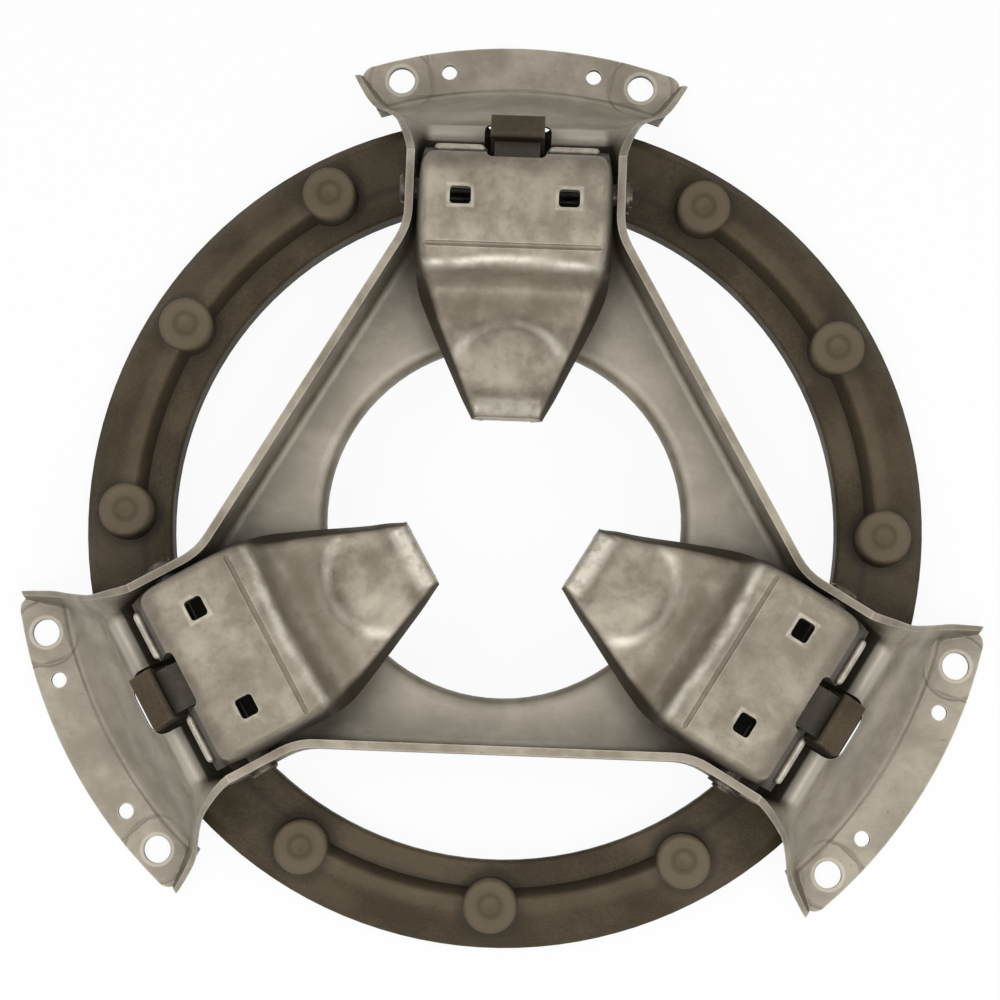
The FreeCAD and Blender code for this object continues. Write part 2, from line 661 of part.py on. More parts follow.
def make_tongue():
    """Tongue pressed down from the plate, with the rounded nose in the lug's throat."""
    drop_x = PIN_X + PIN_RADIUS + LEVER_SHEET / 2 + TONGUE_PIN_GAP
    line = [(PIN_X + 0.8, PIN_Z + 15.9), (drop_x - 0.3, PIN_Z + 10.6), (drop_x, NOSE_Z), (NOSE_X, NOSE_Z)]
    upper = offset_points(line, LEVER_SHEET / 2)
    lower = offset_points(line, -LEVER_SHEET / 2)
    bend_in = TONGUE_BEND_RADIUS
    bend_out = bend_in + LEVER_SHEET
    corners = [
        (upper[0][0], upper[0][1], 0), (upper[1][0], upper[1][1], bend_out),
        (upper[2][0], upper[2][1], bend_in), (upper[3][0], upper[3][1], 0),
        (lower[3][0], lower[3][1], 0), (lower[2][0], lower[2][1], bend_out),
        (lower[1][0], lower[1][1], bend_in), (lower[0][0], lower[0][1], 0),
    ]
    strip = side_prism(corners, -TONGUE_HALF_WIDTH, TONGUE_HALF_WIDTH)
    nose = Part.makeCylinder(LEVER_SHEET / 2, 2 * TONGUE_HALF_WIDTH,
                             Vector(NOSE_X, -TONGUE_HALF_WIDTH, NOSE_Z), Vector(0, 1, 0))
    return strip.fuse(nose)


def make_square_hole(side):
    """Square hole through the plate, on one side of the lever."""
    half_x = SQUARE_HOLE_LENGTH / 2
    half_y = SQUARE_HOLE_WIDTH / 2
    centre_y = side * SQUARE_HOLE_Y
    return prism([
        (SQUARE_HOLE_X - half_x, centre_y - half_y, SQUARE_HOLE_CORNER),
        (SQUARE_HOLE_X + half_x, centre_y - half_y, SQUARE_HOLE_CORNER),
        (SQUARE_HOLE_X + half_x, centre_y + half_y, SQUARE_HOLE_CORNER),
        (SQUARE_HOLE_X - half_x, centre_y + half_y, SQUARE_HOLE_CORNER),
    ], WALL_TOP_Z, WALL_TOP_Z + 20)


def make_lever():
    """One release lever."""
    gap = LUG_HALF_WIDTH + LEVER_GAP_CLEARANCE
    crease = Part.makeCylinder(CREASE_RADIUS, 2 * CREASE_HALF_WIDTH,
                               Vector(CREASE_X, -CREASE_HALF_WIDTH, CREASE_Z), Vector(0, 1, 0))
    opening = prism([(LEVER_GAP_INNER_X, -gap, 2), (LUG_OUTER_X, -gap, 0), (LUG_OUTER_X, gap, 0),
                     (LEVER_GAP_INNER_X, gap, 2)], FLOOR_TOP_Z, WALL_TOP_Z + 20)
    plate = make_lever_plate().cut(opening).cut(crease)
    ear = make_lever_ear()
    other_ear = ear.mirror(Vector(0, 0, 0), Vector(0, 1, 0))
    lever = plate.fuse([ear, other_ear, make_tongue()])
    bore = cross_cylinder(PIN_RADIUS + PIN_RUNNING_CLEARANCE, -ARM_HALF_WIDTH, ARM_HALF_WIDTH)
    return lever.cut([make_square_hole(-1), make_square_hole(1), bore])


def make_pin():
    """Headed cross pin with a groove for its clip."""
    wall_face = ARM_HALF_WIDTH + SHEET / 2
    seat = wall_face + PIN_SEAT_CLEARANCE
    groove_start = -seat - CLIP_GAP
    groove_end = groove_start - CLIP_THICKNESS - CLIP_GAP
    pin = cross_cylinder(PIN_RADIUS, groove_end - PIN_PROJECTION / 2, seat + 1.0)
    head = cross_cylinder(PIN_HEAD_RADIUS, seat, seat + PIN_HEAD_THICKNESS)
    rim = [edge for edge in head.Edges if edge.BoundBox.YMin > seat + PIN_HEAD_THICKNESS - 0.01]
    pin = pin.fuse(head.makeFillet(0.9, rim))
    groove = cross_cylinder(PIN_RADIUS + 1, groove_end, groove_start)
    groove = groove.cut(cross_cylinder(PIN_RADIUS - CLIP_GROOVE_DEPTH, groove_end - 1, groove_start + 1))
    return pin.cut(groove)


def make_clip():
    """Open retaining clip in the groove of the pin."""
    seat = -(ARM_HALF_WIDTH + SHEET / 2 + PIN_SEAT_CLEARANCE)
    high = seat - 1.5 * CLIP_GAP
    low = high - CLIP_THICKNESS
    clip = cross_cylinder(CLIP_OUTER_RADIUS, low, high)
    clip = clip.cut(cross_cylinder(PIN_RADIUS - CLIP_GROOVE_DEPTH + PIN_SEAT_CLEARANCE, low - 1, high + 1))
    mouth = Part.makeBox(CLIP_MOUTH, high - low + 2, CLIP_OUTER_RADIUS + 1,
                         Vector(PIN_X - CLIP_MOUTH / 2, low - 1, PIN_Z - CLIP_OUTER_RADIUS - 1))
    return clip.cut(mouth)


def make_cup():
    """Pressed cup that hangs in the floor and holds the spring's foot."""
    outer = CUP_BORE_RADIUS + CUP_SHEET
    low = FLOOR_TOP_Z - CUP_DEPTH
    lip_top = FLOOR_TOP_Z + CUP_SHEET
    return turned_body([
        (CUP_DRAIN_RADIUS, low, 0),
        (outer, low, CUP_SHEET + 1.0),
        (outer, FLOOR_TOP_Z, 0),
        (outer + CUP_LIP, FLOOR_TOP_Z, 0.4),
        (outer + CUP_LIP, lip_top, 0.4),
        (CUP_BORE_RADIUS, lip_top, 1.2),
        (CUP_BORE_RADIUS, low + CUP_SHEET, 1.0),
        (CUP_DRAIN_RADIUS, low + CUP_SHEET, 0),
    ], SPRING_X)


def make_seat():
    """Pointed seat between the spring and the crease of the lever."""
    pilot = SPRING_OUTER_RADIUS - SPRING_WIRE - SEAT_PILOT_CLEARANCE
    disc_top = SPRING_TOP_Z + SEAT_DISC_THICKNESS
    return turned_body([
        (0, SPRING_TOP_Z - SEAT_PILOT_LENGTH, 0),
        (pilot, SPRING_TOP_Z - SEAT_PILOT_LENGTH, 1.0),
        (pilot, SPRING_TOP_Z, 0),
        (SPRING_OUTER_RADIUS, SPRING_TOP_Z, 0.5),
        (SPRING_OUTER_RADIUS, disc_top, 0.5),
        (SEAT_CONE_BASE, disc_top, 1.0),
        (SEAT_PEAK_RADIUS, SEAT_PEAK_Z, 0.8),
        (0, SEAT_PEAK_Z, 0),
    ], SPRING_X)


def make_spring():
    """Coil spring between the cup and the seat."""
    low = FLOOR_TOP_Z - CUP_DEPTH + CUP_SHEET + SPRING_END_GAP
    height = SPRING_TOP_Z - SPRING_END_GAP - low - SPRING_WIRE
    radius = SPRING_OUTER_RADIUS - SPRING_WIRE / 2
    coil = Part.makeHelix(height / SPRING_TURNS, height, radius)
    ring = Part.Circle(Vector(radius, 0, 0), Vector(0, 1, 0), SPRING_WIRE / 2).toShape()
    spring = Part.Wire(coil).makePipeShell([Part.Wire(ring)], True, True)
    spring.translate(Vector(SPRING_X, 0, low + SPRING_WIRE / 2))
    return spring


def save(name, shape):
    """Write one piece, after a look at its soundness."""
    clean = shape.removeSplitter()
    if not clean.isValid() or clean.Volume <= 0:
        print("unsound piece:", name)
    print(name, "solids", len(clean.Solids), "volume", round(clean.Volume, 1))
    clean.exportStep("parts/" + name + ".step")


def main():
    """Make every piece and write it in its place."""
    save("cover_pressing", make_cover())
    save("pressure_ring", make_ring())
    repeated = (
        ("release_lever", make_lever()),
        ("pivot_pin", make_pin()),
        ("pin_clip", make_clip()),
        ("spring_cup", make_cup()),
        ("spring_seat", make_seat()),
        ("pressure_spring", make_spring()),
    )
    for name, shape in repeated:
        for index in range(ARMS):
            save(name + "_" + str(index + 1), turned(shape, arm_angle(index)))


main()
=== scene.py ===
import math

import bpy
from mathutils import Matrix, Vector


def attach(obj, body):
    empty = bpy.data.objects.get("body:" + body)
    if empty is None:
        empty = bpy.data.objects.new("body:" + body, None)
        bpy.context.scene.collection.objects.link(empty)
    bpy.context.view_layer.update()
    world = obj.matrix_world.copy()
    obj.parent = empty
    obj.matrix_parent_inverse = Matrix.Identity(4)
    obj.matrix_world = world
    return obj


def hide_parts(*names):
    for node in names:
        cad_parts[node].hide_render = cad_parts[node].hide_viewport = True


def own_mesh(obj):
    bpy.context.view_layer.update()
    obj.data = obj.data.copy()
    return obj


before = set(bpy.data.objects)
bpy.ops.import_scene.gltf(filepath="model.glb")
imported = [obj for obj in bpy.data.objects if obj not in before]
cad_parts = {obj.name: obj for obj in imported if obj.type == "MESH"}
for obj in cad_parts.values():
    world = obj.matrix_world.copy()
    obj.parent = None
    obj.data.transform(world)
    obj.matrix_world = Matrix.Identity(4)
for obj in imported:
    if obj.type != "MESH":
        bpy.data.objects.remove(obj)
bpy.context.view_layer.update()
bpy.context.scene.view_settings.view_transform = "Standard"

MM = 0.001
FULL_TURN = 2 * math.pi
ARMS = (1, 2, 3)
FIRST_ARM_DEG = 90.0
ARM_STEP_DEG = 360.0 / len(ARMS)

# Camera and stage
CAMERA_PLACE = (9.2 * MM, -84.5 * MM, 901.8 * MM)
CAMERA_LEAN_DEG = 5.93
CAMERA_SIDE_DEG = 0.70
CAMERA_ROLL_DEG = 2.16
CAMERA_LENS = 102.2
CAMERA_SENSOR = 36.0
CAMERA_NEAR = 0.01
FLOOR_REACH = 6.0
FLOOR_SEEN_WHITE = 0.93
SURROUND_LIGHT = 0.26
LAMP_TARGET = (0, 0, 0.03)
# Each lamp: name, place, width and depth, power
LAMPS = (("key lamp", (-0.55, 0.10, 1.15), (0.8, 0.6), 4.6),
         ("side lamp", (0.60, 0.00, 1.15), (0.5, 0.8), 4.2),
         ("front lamp", (0.05, -0.62, 1.00), (0.9, 0.5), 5.6))

# Pressure springs
SPRING_PLACE = 77.5 * MM
SPRING_FOOT = 17.9 * MM
SPRING_HEIGHT = 26.3 * MM
SPRING_WIRE = 4.6 * MM
SPRING_RADIUS = 11.2 * MM
SPRING_TURNS = 3.6
SPRING_CLOSED_ENDS = 0.55
SPRING_GROUND_SHARE = 0.22
SPRING_STEPS = 40
SPRING_WIRE_SIDES = 18

# Rolled lip at the outer end of a lever
LIP_PLACE = 112.0 * MM
LIP_HEIGHT = 48.4 * MM
LIP_RADIUS = 1.35 * MM
LIP_INNER = 9.6 * MM
LIP_OUTER = 25.4 * MM
LIP_STATIONS = 24
LIP_SIDES = 14
LIP_END_POWER = 12
LIP_END_SHARE = 0.15

# Cover: distances along an arm, across it and from the axis
PIVOT_PLACE = 99.4 * MM
PIVOT_HEIGHT = 46.0 * MM
BOLT_CIRCLE_RADIUS = 149.25 * MM
BOLT_TURN = math.radians(15)
BOLT_PAD_RADIUS = 10.4 * MM
BOLT_RIM_RADIUS = 5.0 * MM
EAR_CREASE_TURN = math.radians(11.4)
EAR_FOLD_RADIUS = 142.2 * MM
LIT_FOLD_RADIUS = 141.0 * MM
PRESSED_DEPTH = 0.25 * MM

# Levers: their sides spread from the tip outwards
TIP_PLACE = 27.6 * MM
SIDE_SPREAD = 0.39
SIDE_AT_TIP = 10.8 * MM
FOLD_AT_TIP = 9.3 * MM
FOLD_WIDEST = 28.0 * MM
DOME_PLACE = 46.0 * MM
DOME_HALF_LENGTH = 11.5 * MM
DOME_HALF_WIDTH = 15.5 * MM
VALLEY_PLACE = 63.5 * MM
STEP_PLACE = 71.0 * MM
SHOULDER_PLACE = 74.2 * MM
SHOULDER_SWING = 0.9 * MM
SHOULDER_SWING_LENGTH = 60.0 * MM
CREASE_PLACE = 79.4 * MM
SQUARE_HOLE_PLACE = 94.2 * MM
SQUARE_HOLE_SIDE = 16.4 * MM
SQUARE_HOLE_HALF_LENGTH = 2.75 * MM
SQUARE_HOLE_HALF_WIDTH = 3.2 * MM

# Ring: bosses stand one step apart on a circle, joined by a rib
BOSS_STEP = math.radians(30)
BOSS_CIRCLE_RADIUS = 118.6 * MM
BOSS_DIMPLE_RADIUS = 3.4 * MM
BOSS_RIM_RADIUS = 6.4 * MM
BOSS_FOOT_RADIUS = 9.6 * MM
RIB_FLANK_RADIUS = 113.6 * MM

# Finishes, as linear colours
WHITE = (1, 1, 1, 1)
STEEL_DARK = (0.118, 0.098, 0.068, 1)
STEEL_MIDDLE = (0.178, 0.151, 0.109, 1)
STEEL_LIGHT = (0.330, 0.290, 0.225, 1)
STEEL_BRIGHT = (0.560, 0.520, 0.440, 1)
# Stain brown: real stains, and painted shade in folds, creases, the lever valley and beside the levers
STAIN_AND_SHADE_BROWN = (0.090, 0.070, 0.044, 1)
CAST_DARK = (0.034, 0.023, 0.010, 1)
CAST_MIDDLE = (0.074, 0.054, 0.028, 1)
CAST_LIGHT = (0.128, 0.100, 0.060, 1)
FACE_STEEL = (0.380, 0.345, 0.285, 1)
SPRING_DARK = (0.050, 0.045, 0.036, 1)
SPRING_LIGHT = (0.125, 0.113, 0.093, 1)
# Painted shade: laid where corners, gaps, hollows and faces turned from the lamps lie in shade
SHADE_DARK = (0.026, 0.019, 0.010, 1)
FLOOR_PALE = (0.90, 0.90, 0.90, 1)

FLOAT = "NodeSocketFloat"
VECTOR = "NodeSocketVector"


def arm_angle(arm):
    """Direction of one arm in radians."""
    return math.radians(FIRST_ARM_DEG + ARM_STEP_DEG * (arm - 1))


def put_in_scene(name, data):
    """New object in the scene."""
    made = bpy.data.objects.new(name, data)
    bpy.context.scene.collection.objects.link(made)
    return made


def feed(tree, socket, value):
    """Link a socket to another one, or set it to a value."""
    if isinstance(value, bpy.types.NodeSocket):
        tree.links.new(value, socket)
    else:
        socket.default_value = value


def add(tree, kind, inputs=None, **settings):
    """One node with its settings and its inputs."""
    made = tree.nodes.new(kind)
    for name, value in settings.items():
        setattr(made, name, value)
    for name, value in (inputs or {}).items():
        feed(tree, made.inputs[name], value)
    return made


def calc(tree, operation, *values, clamp=False):
    """Output of one math node."""
    made = tree.nodes.new("ShaderNodeMath")
    made.operation = operation
    made.use_clamp = clamp
    for socket, value in zip(made.inputs, values):
        feed(tree, socket, value)
    return made.outputs[0]


def product(tree, *values):
    """Values multiplied with each other."""
    result = values[0]
    for value in values[1:]:
        result = calc(tree, "MULTIPLY", result, value)
    return result


def weighed_sum(tree, first, first_share, second, second_share):
    """Two values added, each times its share."""
    return calc(tree, "ADD", product(tree, first, first_share), product(tree, second, second_share))


def inverse(tree, share):
    """What a share leaves of one."""
    return calc(tree, "SUBTRACT", 1.0, share)


def raised(tree, share, least):
    """A share pressed together so that it starts at a least value."""
    return calc(tree, "ADD", least, product(tree, share, 1.0 - least))


def distance_of(tree, first, second):
    """Length of the line with two given legs."""
    return calc(tree, "SQRT", calc(tree, "ADD", calc(tree, "POWER", first, 2.0),
                                   calc(tree, "POWER", second, 2.0)))


def folded_angle(tree, angle, step, first=0.0):
    """An angle measured from the nearest of several directions one step apart."""
    start = calc(tree, "ADD", angle, step / 2 - first + FULL_TURN)
    return calc(tree, "SUBTRACT", calc(tree, "MODULO", start, step), step / 2)


def ramp(tree, value, low, high, to_low=0.0, to_high=1.0):
    """A value stretched from one span to another and held at its ends."""
    made = add(tree, "ShaderNodeMapRange", clamp=True, interpolation_type="SMOOTHSTEP")
    for socket, setting in zip(made.inputs, (value, low, high, to_low, to_high)):
        feed(tree, socket, setting)
    return made.outputs[0]


def line_mark(tree, value, centre, width):
    """Band that is high where a value is near its centre."""
    away = calc(tree, "ABSOLUTE", calc(tree, "SUBTRACT", value, centre))
    return ramp(tree, away, width, 0.0)


def blend_colour(tree, share, first, second):
    """Two colours mixed by a share."""
    made = add(tree, "ShaderNodeMix", data_type="RGBA", blend_type="MIX")
    feed(tree, made.inputs[0], share)
    feed(tree, made.inputs[6], first)
    feed(tree, made.inputs[7], second)
    return made.outputs[2]


def paint(tree, colour, *layers):
    """Layers laid over a colour in turn; each is its mask, its strength and its colour."""
    for mask, strength, over in layers:
        colour = blend_colour(tree, product(tree, mask, strength), colour, over)
    return colour


def noise(tree, vector, scale, detail=4.0, roughness=0.55, distortion=0.0):
    """Cloudy texture value."""
    made = add(tree, "ShaderNodeTexNoise", {"Vector": vector, "Scale": scale, "Detail": detail,
                                            "Roughness": roughness, "Distortion": distortion})
    return made.outputs[0]


def mapped(tree, vector, scale=(1, 1, 1), turn=(0, 0, 0), shift=(0, 0, 0)):
    """Pattern coordinates stretched, turned and shifted."""
    made = add(tree, "ShaderNodeMapping", {"Vector": vector, "Scale": scale, "Rotation": turn,
                                           "Location": shift})
    return made.outputs[0]


def new_group(name, inputs, outputs):
    """Empty shader group with its sockets; returns the tree, its inputs and its exit node."""
    tree = bpy.data.node_groups.new(name, "ShaderNodeTree")
    for label, kind, default in inputs:
        socket = tree.interface.new_socket(name=label, in_out="INPUT", socket_type=kind)
        if default is not None:
            socket.default_value = default
    for label in outputs:
        tree.interface.new_socket(name=label, in_out="OUTPUT", socket_type=FLOAT)
    entry = tree.nodes.new("NodeGroupInput")
    leave = tree.nodes.new("NodeGroupOutput")
    return tree, entry.outputs, leave


def use_group(tree, group, **inputs):
    """A group placed in a material; underscores in its input names stand for spaces."""
    made = tree.nodes.new("ShaderNodeGroup")
    made.node_tree = group
    for name, value in inputs.items():
        feed(tree, made.inputs[name.replace("_", " ")], value)
    return made.outputs


def make_arm_place():
    """Where a point lies on its nearest arm: along it, across it, its height and its radius."""
    tree, entry, leave = new_group("arm place", [("Vector", VECTOR, None)],
                                   ["Along", "Across", "Height", "Radius"])
    parts = add(tree, "ShaderNodeSeparateXYZ", {"Vector": entry["Vector"]}).outputs
    radius = distance_of(tree, parts["X"], parts["Y"])
    angle = calc(tree, "ARCTAN2", parts["Y"], parts["X"])
    folded = folded_angle(tree, angle, math.radians(ARM_STEP_DEG), math.radians(FIRST_ARM_DEG))
    feed(tree, leave.inputs["Along"], product(tree, radius, calc(tree, "COSINE", folded)))
    feed(tree, leave.inputs["Across"], product(tree, radius, calc(tree, "SINE", folded)))
    feed(tree, leave.inputs["Height"], parts["Z"])
    feed(tree, leave.inputs["Radius"], radius)
    return tree


def make_edge_polish():
    """Mask that is high along sharp edges, broken up as wear is."""
    tree, entry, leave = new_group("edge polish", [("Vector", VECTOR, None), ("Width", FLOAT, 0.0006),
                                                   ("Breaks", FLOAT, 0.5)], ["Mask"])
    soft = add(tree, "ShaderNodeBevel", {"Radius": entry["Width"]}, samples=3).outputs[0]
    sharp = add(tree, "ShaderNodeNewGeometry").outputs["Normal"]
    turn = add(tree, "ShaderNodeVectorMath", {0: soft, 1: sharp}, operation="DOT_PRODUCT").outputs["Value"]
    edge = ramp(tree, turn, 0.985, 0.82)
    gaps = ramp(tree, noise(tree, entry["Vector"], 420.0, 3.0), 0.35, 0.62)
    kept = inverse(tree, product(tree, gaps, entry["Breaks"]))
    feed(tree, leave.inputs["Mask"], calc(tree, "MULTIPLY", edge, kept, clamp=True))
    return tree


def make_corner_shade():
    """Painted shade: mask that is high in corners and narrow gaps, where ambient occlusion finds them, made
    patchy.
    """
    tree, entry, leave = new_group("corner shade", [("Vector", VECTOR, None), ("Reach", FLOAT, 0.006),
                                                    ("Open Share", FLOAT, 0.74), ("Amount", FLOAT, 0.7)],
                                   ["Mask"])
    open_sky = add(tree, "ShaderNodeAmbientOcclusion", {"Distance": entry["Reach"]}, samples=4).outputs["AO"]
    closed = ramp(tree, open_sky, entry["Open Share"], 0.22)
    patchy = ramp(tree, noise(tree, entry["Vector"], 160.0, 4.0), 0.25, 0.60, 0.55, 1.0)
    mask = calc(tree, "MULTIPLY", product(tree, closed, patchy), entry["Amount"], clamp=True)
    feed(tree, leave.inputs["Mask"], mask)
    return tree


def make_pressed_skin():
    """Skin of pressed sheet: slow tone patches, spots, rolling grain and shallow dents."""
    tree, entry, leave = new_group("pressed skin", [("Vector", VECTOR, None), ("Patch Size", FLOAT, 0.02),
                                                    ("Dent Depth", FLOAT, 0.0002)],
                                   ["Tone", "Spots", "Gloss", "Height"])
    patch_scale = calc(tree, "DIVIDE", 1.0, entry["Patch Size"])
    slow = noise(tree, entry["Vector"], patch_scale, 3.0, 0.5, 0.4)
    mottle = noise(tree, entry["Vector"], product(tree, patch_scale, 4.0), 5.0, 0.62)
    feed(tree, leave.inputs["Tone"], ramp(tree, weighed_sum(tree, slow, 0.6, mottle, 0.4), 0.36, 0.66))
    fine = noise(tree, mapped(tree, entry["Vector"], shift=(3.1, 0.7, 1.9)), 700.0, 3.0, 0.6)
    rare = noise(tree, mapped(tree, entry["Vector"], shift=(0.4, 2.2, 5.0)), 90.0, 2.0)
    spots = product(tree, ramp(tree, fine, 0.60, 0.74), ramp(tree, rare, 0.45, 0.65))
    feed(tree, leave.inputs["Spots"], spots)
    grain = noise(tree, mapped(tree, entry["Vector"], scale=(1.0, 14.0, 1.0)), 260.0, 3.0, 0.6)
    feed(tree, leave.inputs["Gloss"], weighed_sum(tree, mottle, 0.55, grain, 0.45))
    dents = product(tree, noise(tree, entry["Vector"], 85.0, 2.0, 0.5, 0.6), entry["Dent Depth"])
    texture = product(tree, calc(tree, "ADD", grain, fine), 0.016 * MM)
    pits = product(tree, spots, -0.04 * MM)
    feed(tree, leave.inputs["Height"], calc(tree, "ADD", calc(tree, "ADD", dents, texture), pits))
    return tree


def make_cast_skin():
    """Skin of a sand casting: coarse grains, low swells and dark blotches."""
    tree, entry, leave = new_group("cast skin", [("Vector", VECTOR, None), ("Grain Size", FLOAT, 0.0009)],
                                   ["Tone", "Height"])
    scale = calc(tree, "DIVIDE", 1.0, entry["Grain Size"])
    grains = noise(tree, entry["Vector"], scale, 4.0, 0.65)
    swells = noise(tree, entry["Vector"], product(tree, scale, 0.07), 3.0)
    blotch = noise(tree, mapped(tree, entry["Vector"], shift=(1.3, 4.2, 0.6)), 34.0, 4.0, 0.6)
    feed(tree, leave.inputs["Tone"], ramp(tree, weighed_sum(tree, blotch, 0.7, grains, 0.3), 0.36, 0.66))
    feed(tree, leave.inputs["Height"], weighed_sum(tree, grains, 0.12 * MM, swells, 0.5 * MM))
    return tree


def make_scratches():
    """Fine handling scratches that cross in three directions."""
    tree, entry, leave = new_group("scratches", [("Vector", VECTOR, None), ("Length", FLOAT, 0.02)], ["Mask"])
    scale = calc(tree, "DIVIDE", 1.0, entry["Length"])
    lines = None
    for turn, shift in ((0.35, 0.0), (1.45, 2.7), (2.5, 5.1)):
        place = mapped(tree, entry["Vector"], scale=(1.0, 34.0, 1.0), turn=(0, 0, turn),
                       shift=(shift, shift, 0))
        cells = add(tree, "ShaderNodeTexVoronoi", {"Vector": place, "Scale": scale},
                    feature="DISTANCE_TO_EDGE")
        elsewhere = mapped(tree, entry["Vector"], shift=(shift, 0, 1.0))
        part = ramp(tree, noise(tree, elsewhere, 70.0, 2.0), 0.56, 0.66)
        line = product(tree, ramp(tree, cells.outputs["Distance"], 0.020, 0.006), part)
        lines = line if lines is None else calc(tree, "MAXIMUM", lines, line)
    feed(tree, leave.inputs["Mask"], lines)
    return tree


def make_turned_rings():
    """Fine tool rings left by a lathe at a given distance from the turning axis."""
    tree, entry, leave = new_group("turned rings", [("Vector", VECTOR, None), ("Distance", FLOAT, 0.1),
                                                    ("Pitch", FLOAT, 0.0004)], ["Height", "Tone"])
    wobble = product(tree, noise(tree, entry["Vector"], 60.0, 2.0), 0.2 * MM)
    along = calc(tree, "ADD", entry["Distance"], wobble)
    wave = calc(tree, "SINE", calc(tree, "DIVIDE", along, calc(tree, "DIVIDE", entry["Pitch"], FULL_TURN)))
    bands = noise(tree, add(tree, "ShaderNodeCombineXYZ", {"X": entry["Distance"]}).outputs[0], 900.0, 3.0)
    feed(tree, leave.inputs["Height"], product(tree, calc(tree, "ADD", wave, bands), 0.012 * MM))
    feed(tree, leave.inputs["Tone"], ramp(tree, bands, 0.3, 0.7))
    return tree


ARM_PLACE = make_arm_place()
EDGE_POLISH = make_edge_polish()
CORNER_SHADE = make_corner_shade()
PRESSED_SKIN = make_pressed_skin()
CAST_SKIN = make_cast_skin()
SCRATCHES = make_scratches()
TURNED_RINGS = make_turned_rings()


def new_material(name):
    """Material with an empty tree, its Principled shader and the object coordinates."""
    material = bpy.data.materials.new(name)
    material.use_nodes = True
    tree = material.node_tree
    tree.nodes.clear()
    shader = tree.nodes.new("ShaderNodeBsdfPrincipled")
    leave = tree.nodes.new("ShaderNodeOutputMaterial")
    tree.links.new(shader.outputs[0], leave.inputs["Surface"])
    place = tree.nodes.new("ShaderNodeTexCoord").outputs["Object"]
    return material, tree, shader, place


def set_finish(tree, shader, colour, roughness, metal, height):
    """Colour, roughness, share of metal and relief of a shader; the height is in metres."""
    feed(tree, shader.inputs["Base Color"], colour)
    feed(tree, shader.inputs["Roughness"], roughness)
    feed(tree, shader.inputs["Metallic"], metal)
    relief = add(tree, "ShaderNodeBump", {"Height": height, "Strength": 1.0, "Distance": 1.0})
    tree.links.new(relief.outputs["Normal"], shader.inputs["Normal"])


def make_sheet_steel(name, turn=0.0, shift=0.0, patch=0.02, dent=0.00022, light=STEEL_LIGHT,
                     middle=STEEL_MIDDLE, rough=(0.40, 0.60), reach=0.012, open_share=0.74, wear_at=None):
    """Bare pressed steel, mottled, with light stains, bright along its edges, with painted shade in corners and
    gaps.
    """
    material, tree, shader, place = new_material(name)
    own = mapped(tree, place, turn=(0, 0, turn), shift=(shift, shift * 0.7, shift * 0.3))
    skin = use_group(tree, PRESSED_SKIN, Vector=own, Patch_Size=patch, Dent_Depth=dent)
    edges = use_group(tree, EDGE_POLISH, Vector=place, Width=0.0007, Breaks=0.35)["Mask"]
    shade_mask = use_group(tree, CORNER_SHADE, Vector=own, Reach=reach, Open_Share=open_share,
                      Amount=0.9)["Mask"]
    marks = use_group(tree, SCRATCHES, Vector=own, Length=0.018)["Mask"]
    cloudy = ramp(tree, noise(tree, mapped(tree, own, shift=(7, 1, 3)), 38.0, 5.0, 0.6), 0.48, 0.70, 0.0, 0.45)
    colour = paint(tree, blend_colour(tree, skin["Tone"], middle, light),
                   (cloudy, 1.0, STEEL_DARK),
                   (skin["Spots"], 0.55, STAIN_AND_SHADE_BROWN),
                   # painted shade in corners and gaps
                   (shade_mask, 1.0, SHADE_DARK),
                   (marks, 0.35, light),
                   (edges, 0.75, STEEL_BRIGHT))
    gloss = ramp(tree, skin["Gloss"], 0.30, 0.70, rough[0], rough[1])
    gloss = calc(tree, "ADD", gloss, product(tree, shade_mask, 0.25), clamp=True)
    gloss = calc(tree, "SUBTRACT", gloss, product(tree, edges, 0.10), clamp=True)
    height = calc(tree, "SUBTRACT", skin["Height"], product(tree, marks, 0.01 * MM))
    if wear_at is not None:
        height, colour, gloss = wear_at(tree, place, height, colour, gloss)
    set_finish(tree, shader, colour, gloss, 0.35, height)
    return material


def lever_side(tree, along, at_tip):
    """Half the width of a lever at a place along it, from its half width at the tip."""
    return calc(tree, "ADD", at_tip, product(tree, calc(tree, "SUBTRACT", along, TIP_PLACE), SIDE_SPREAD))


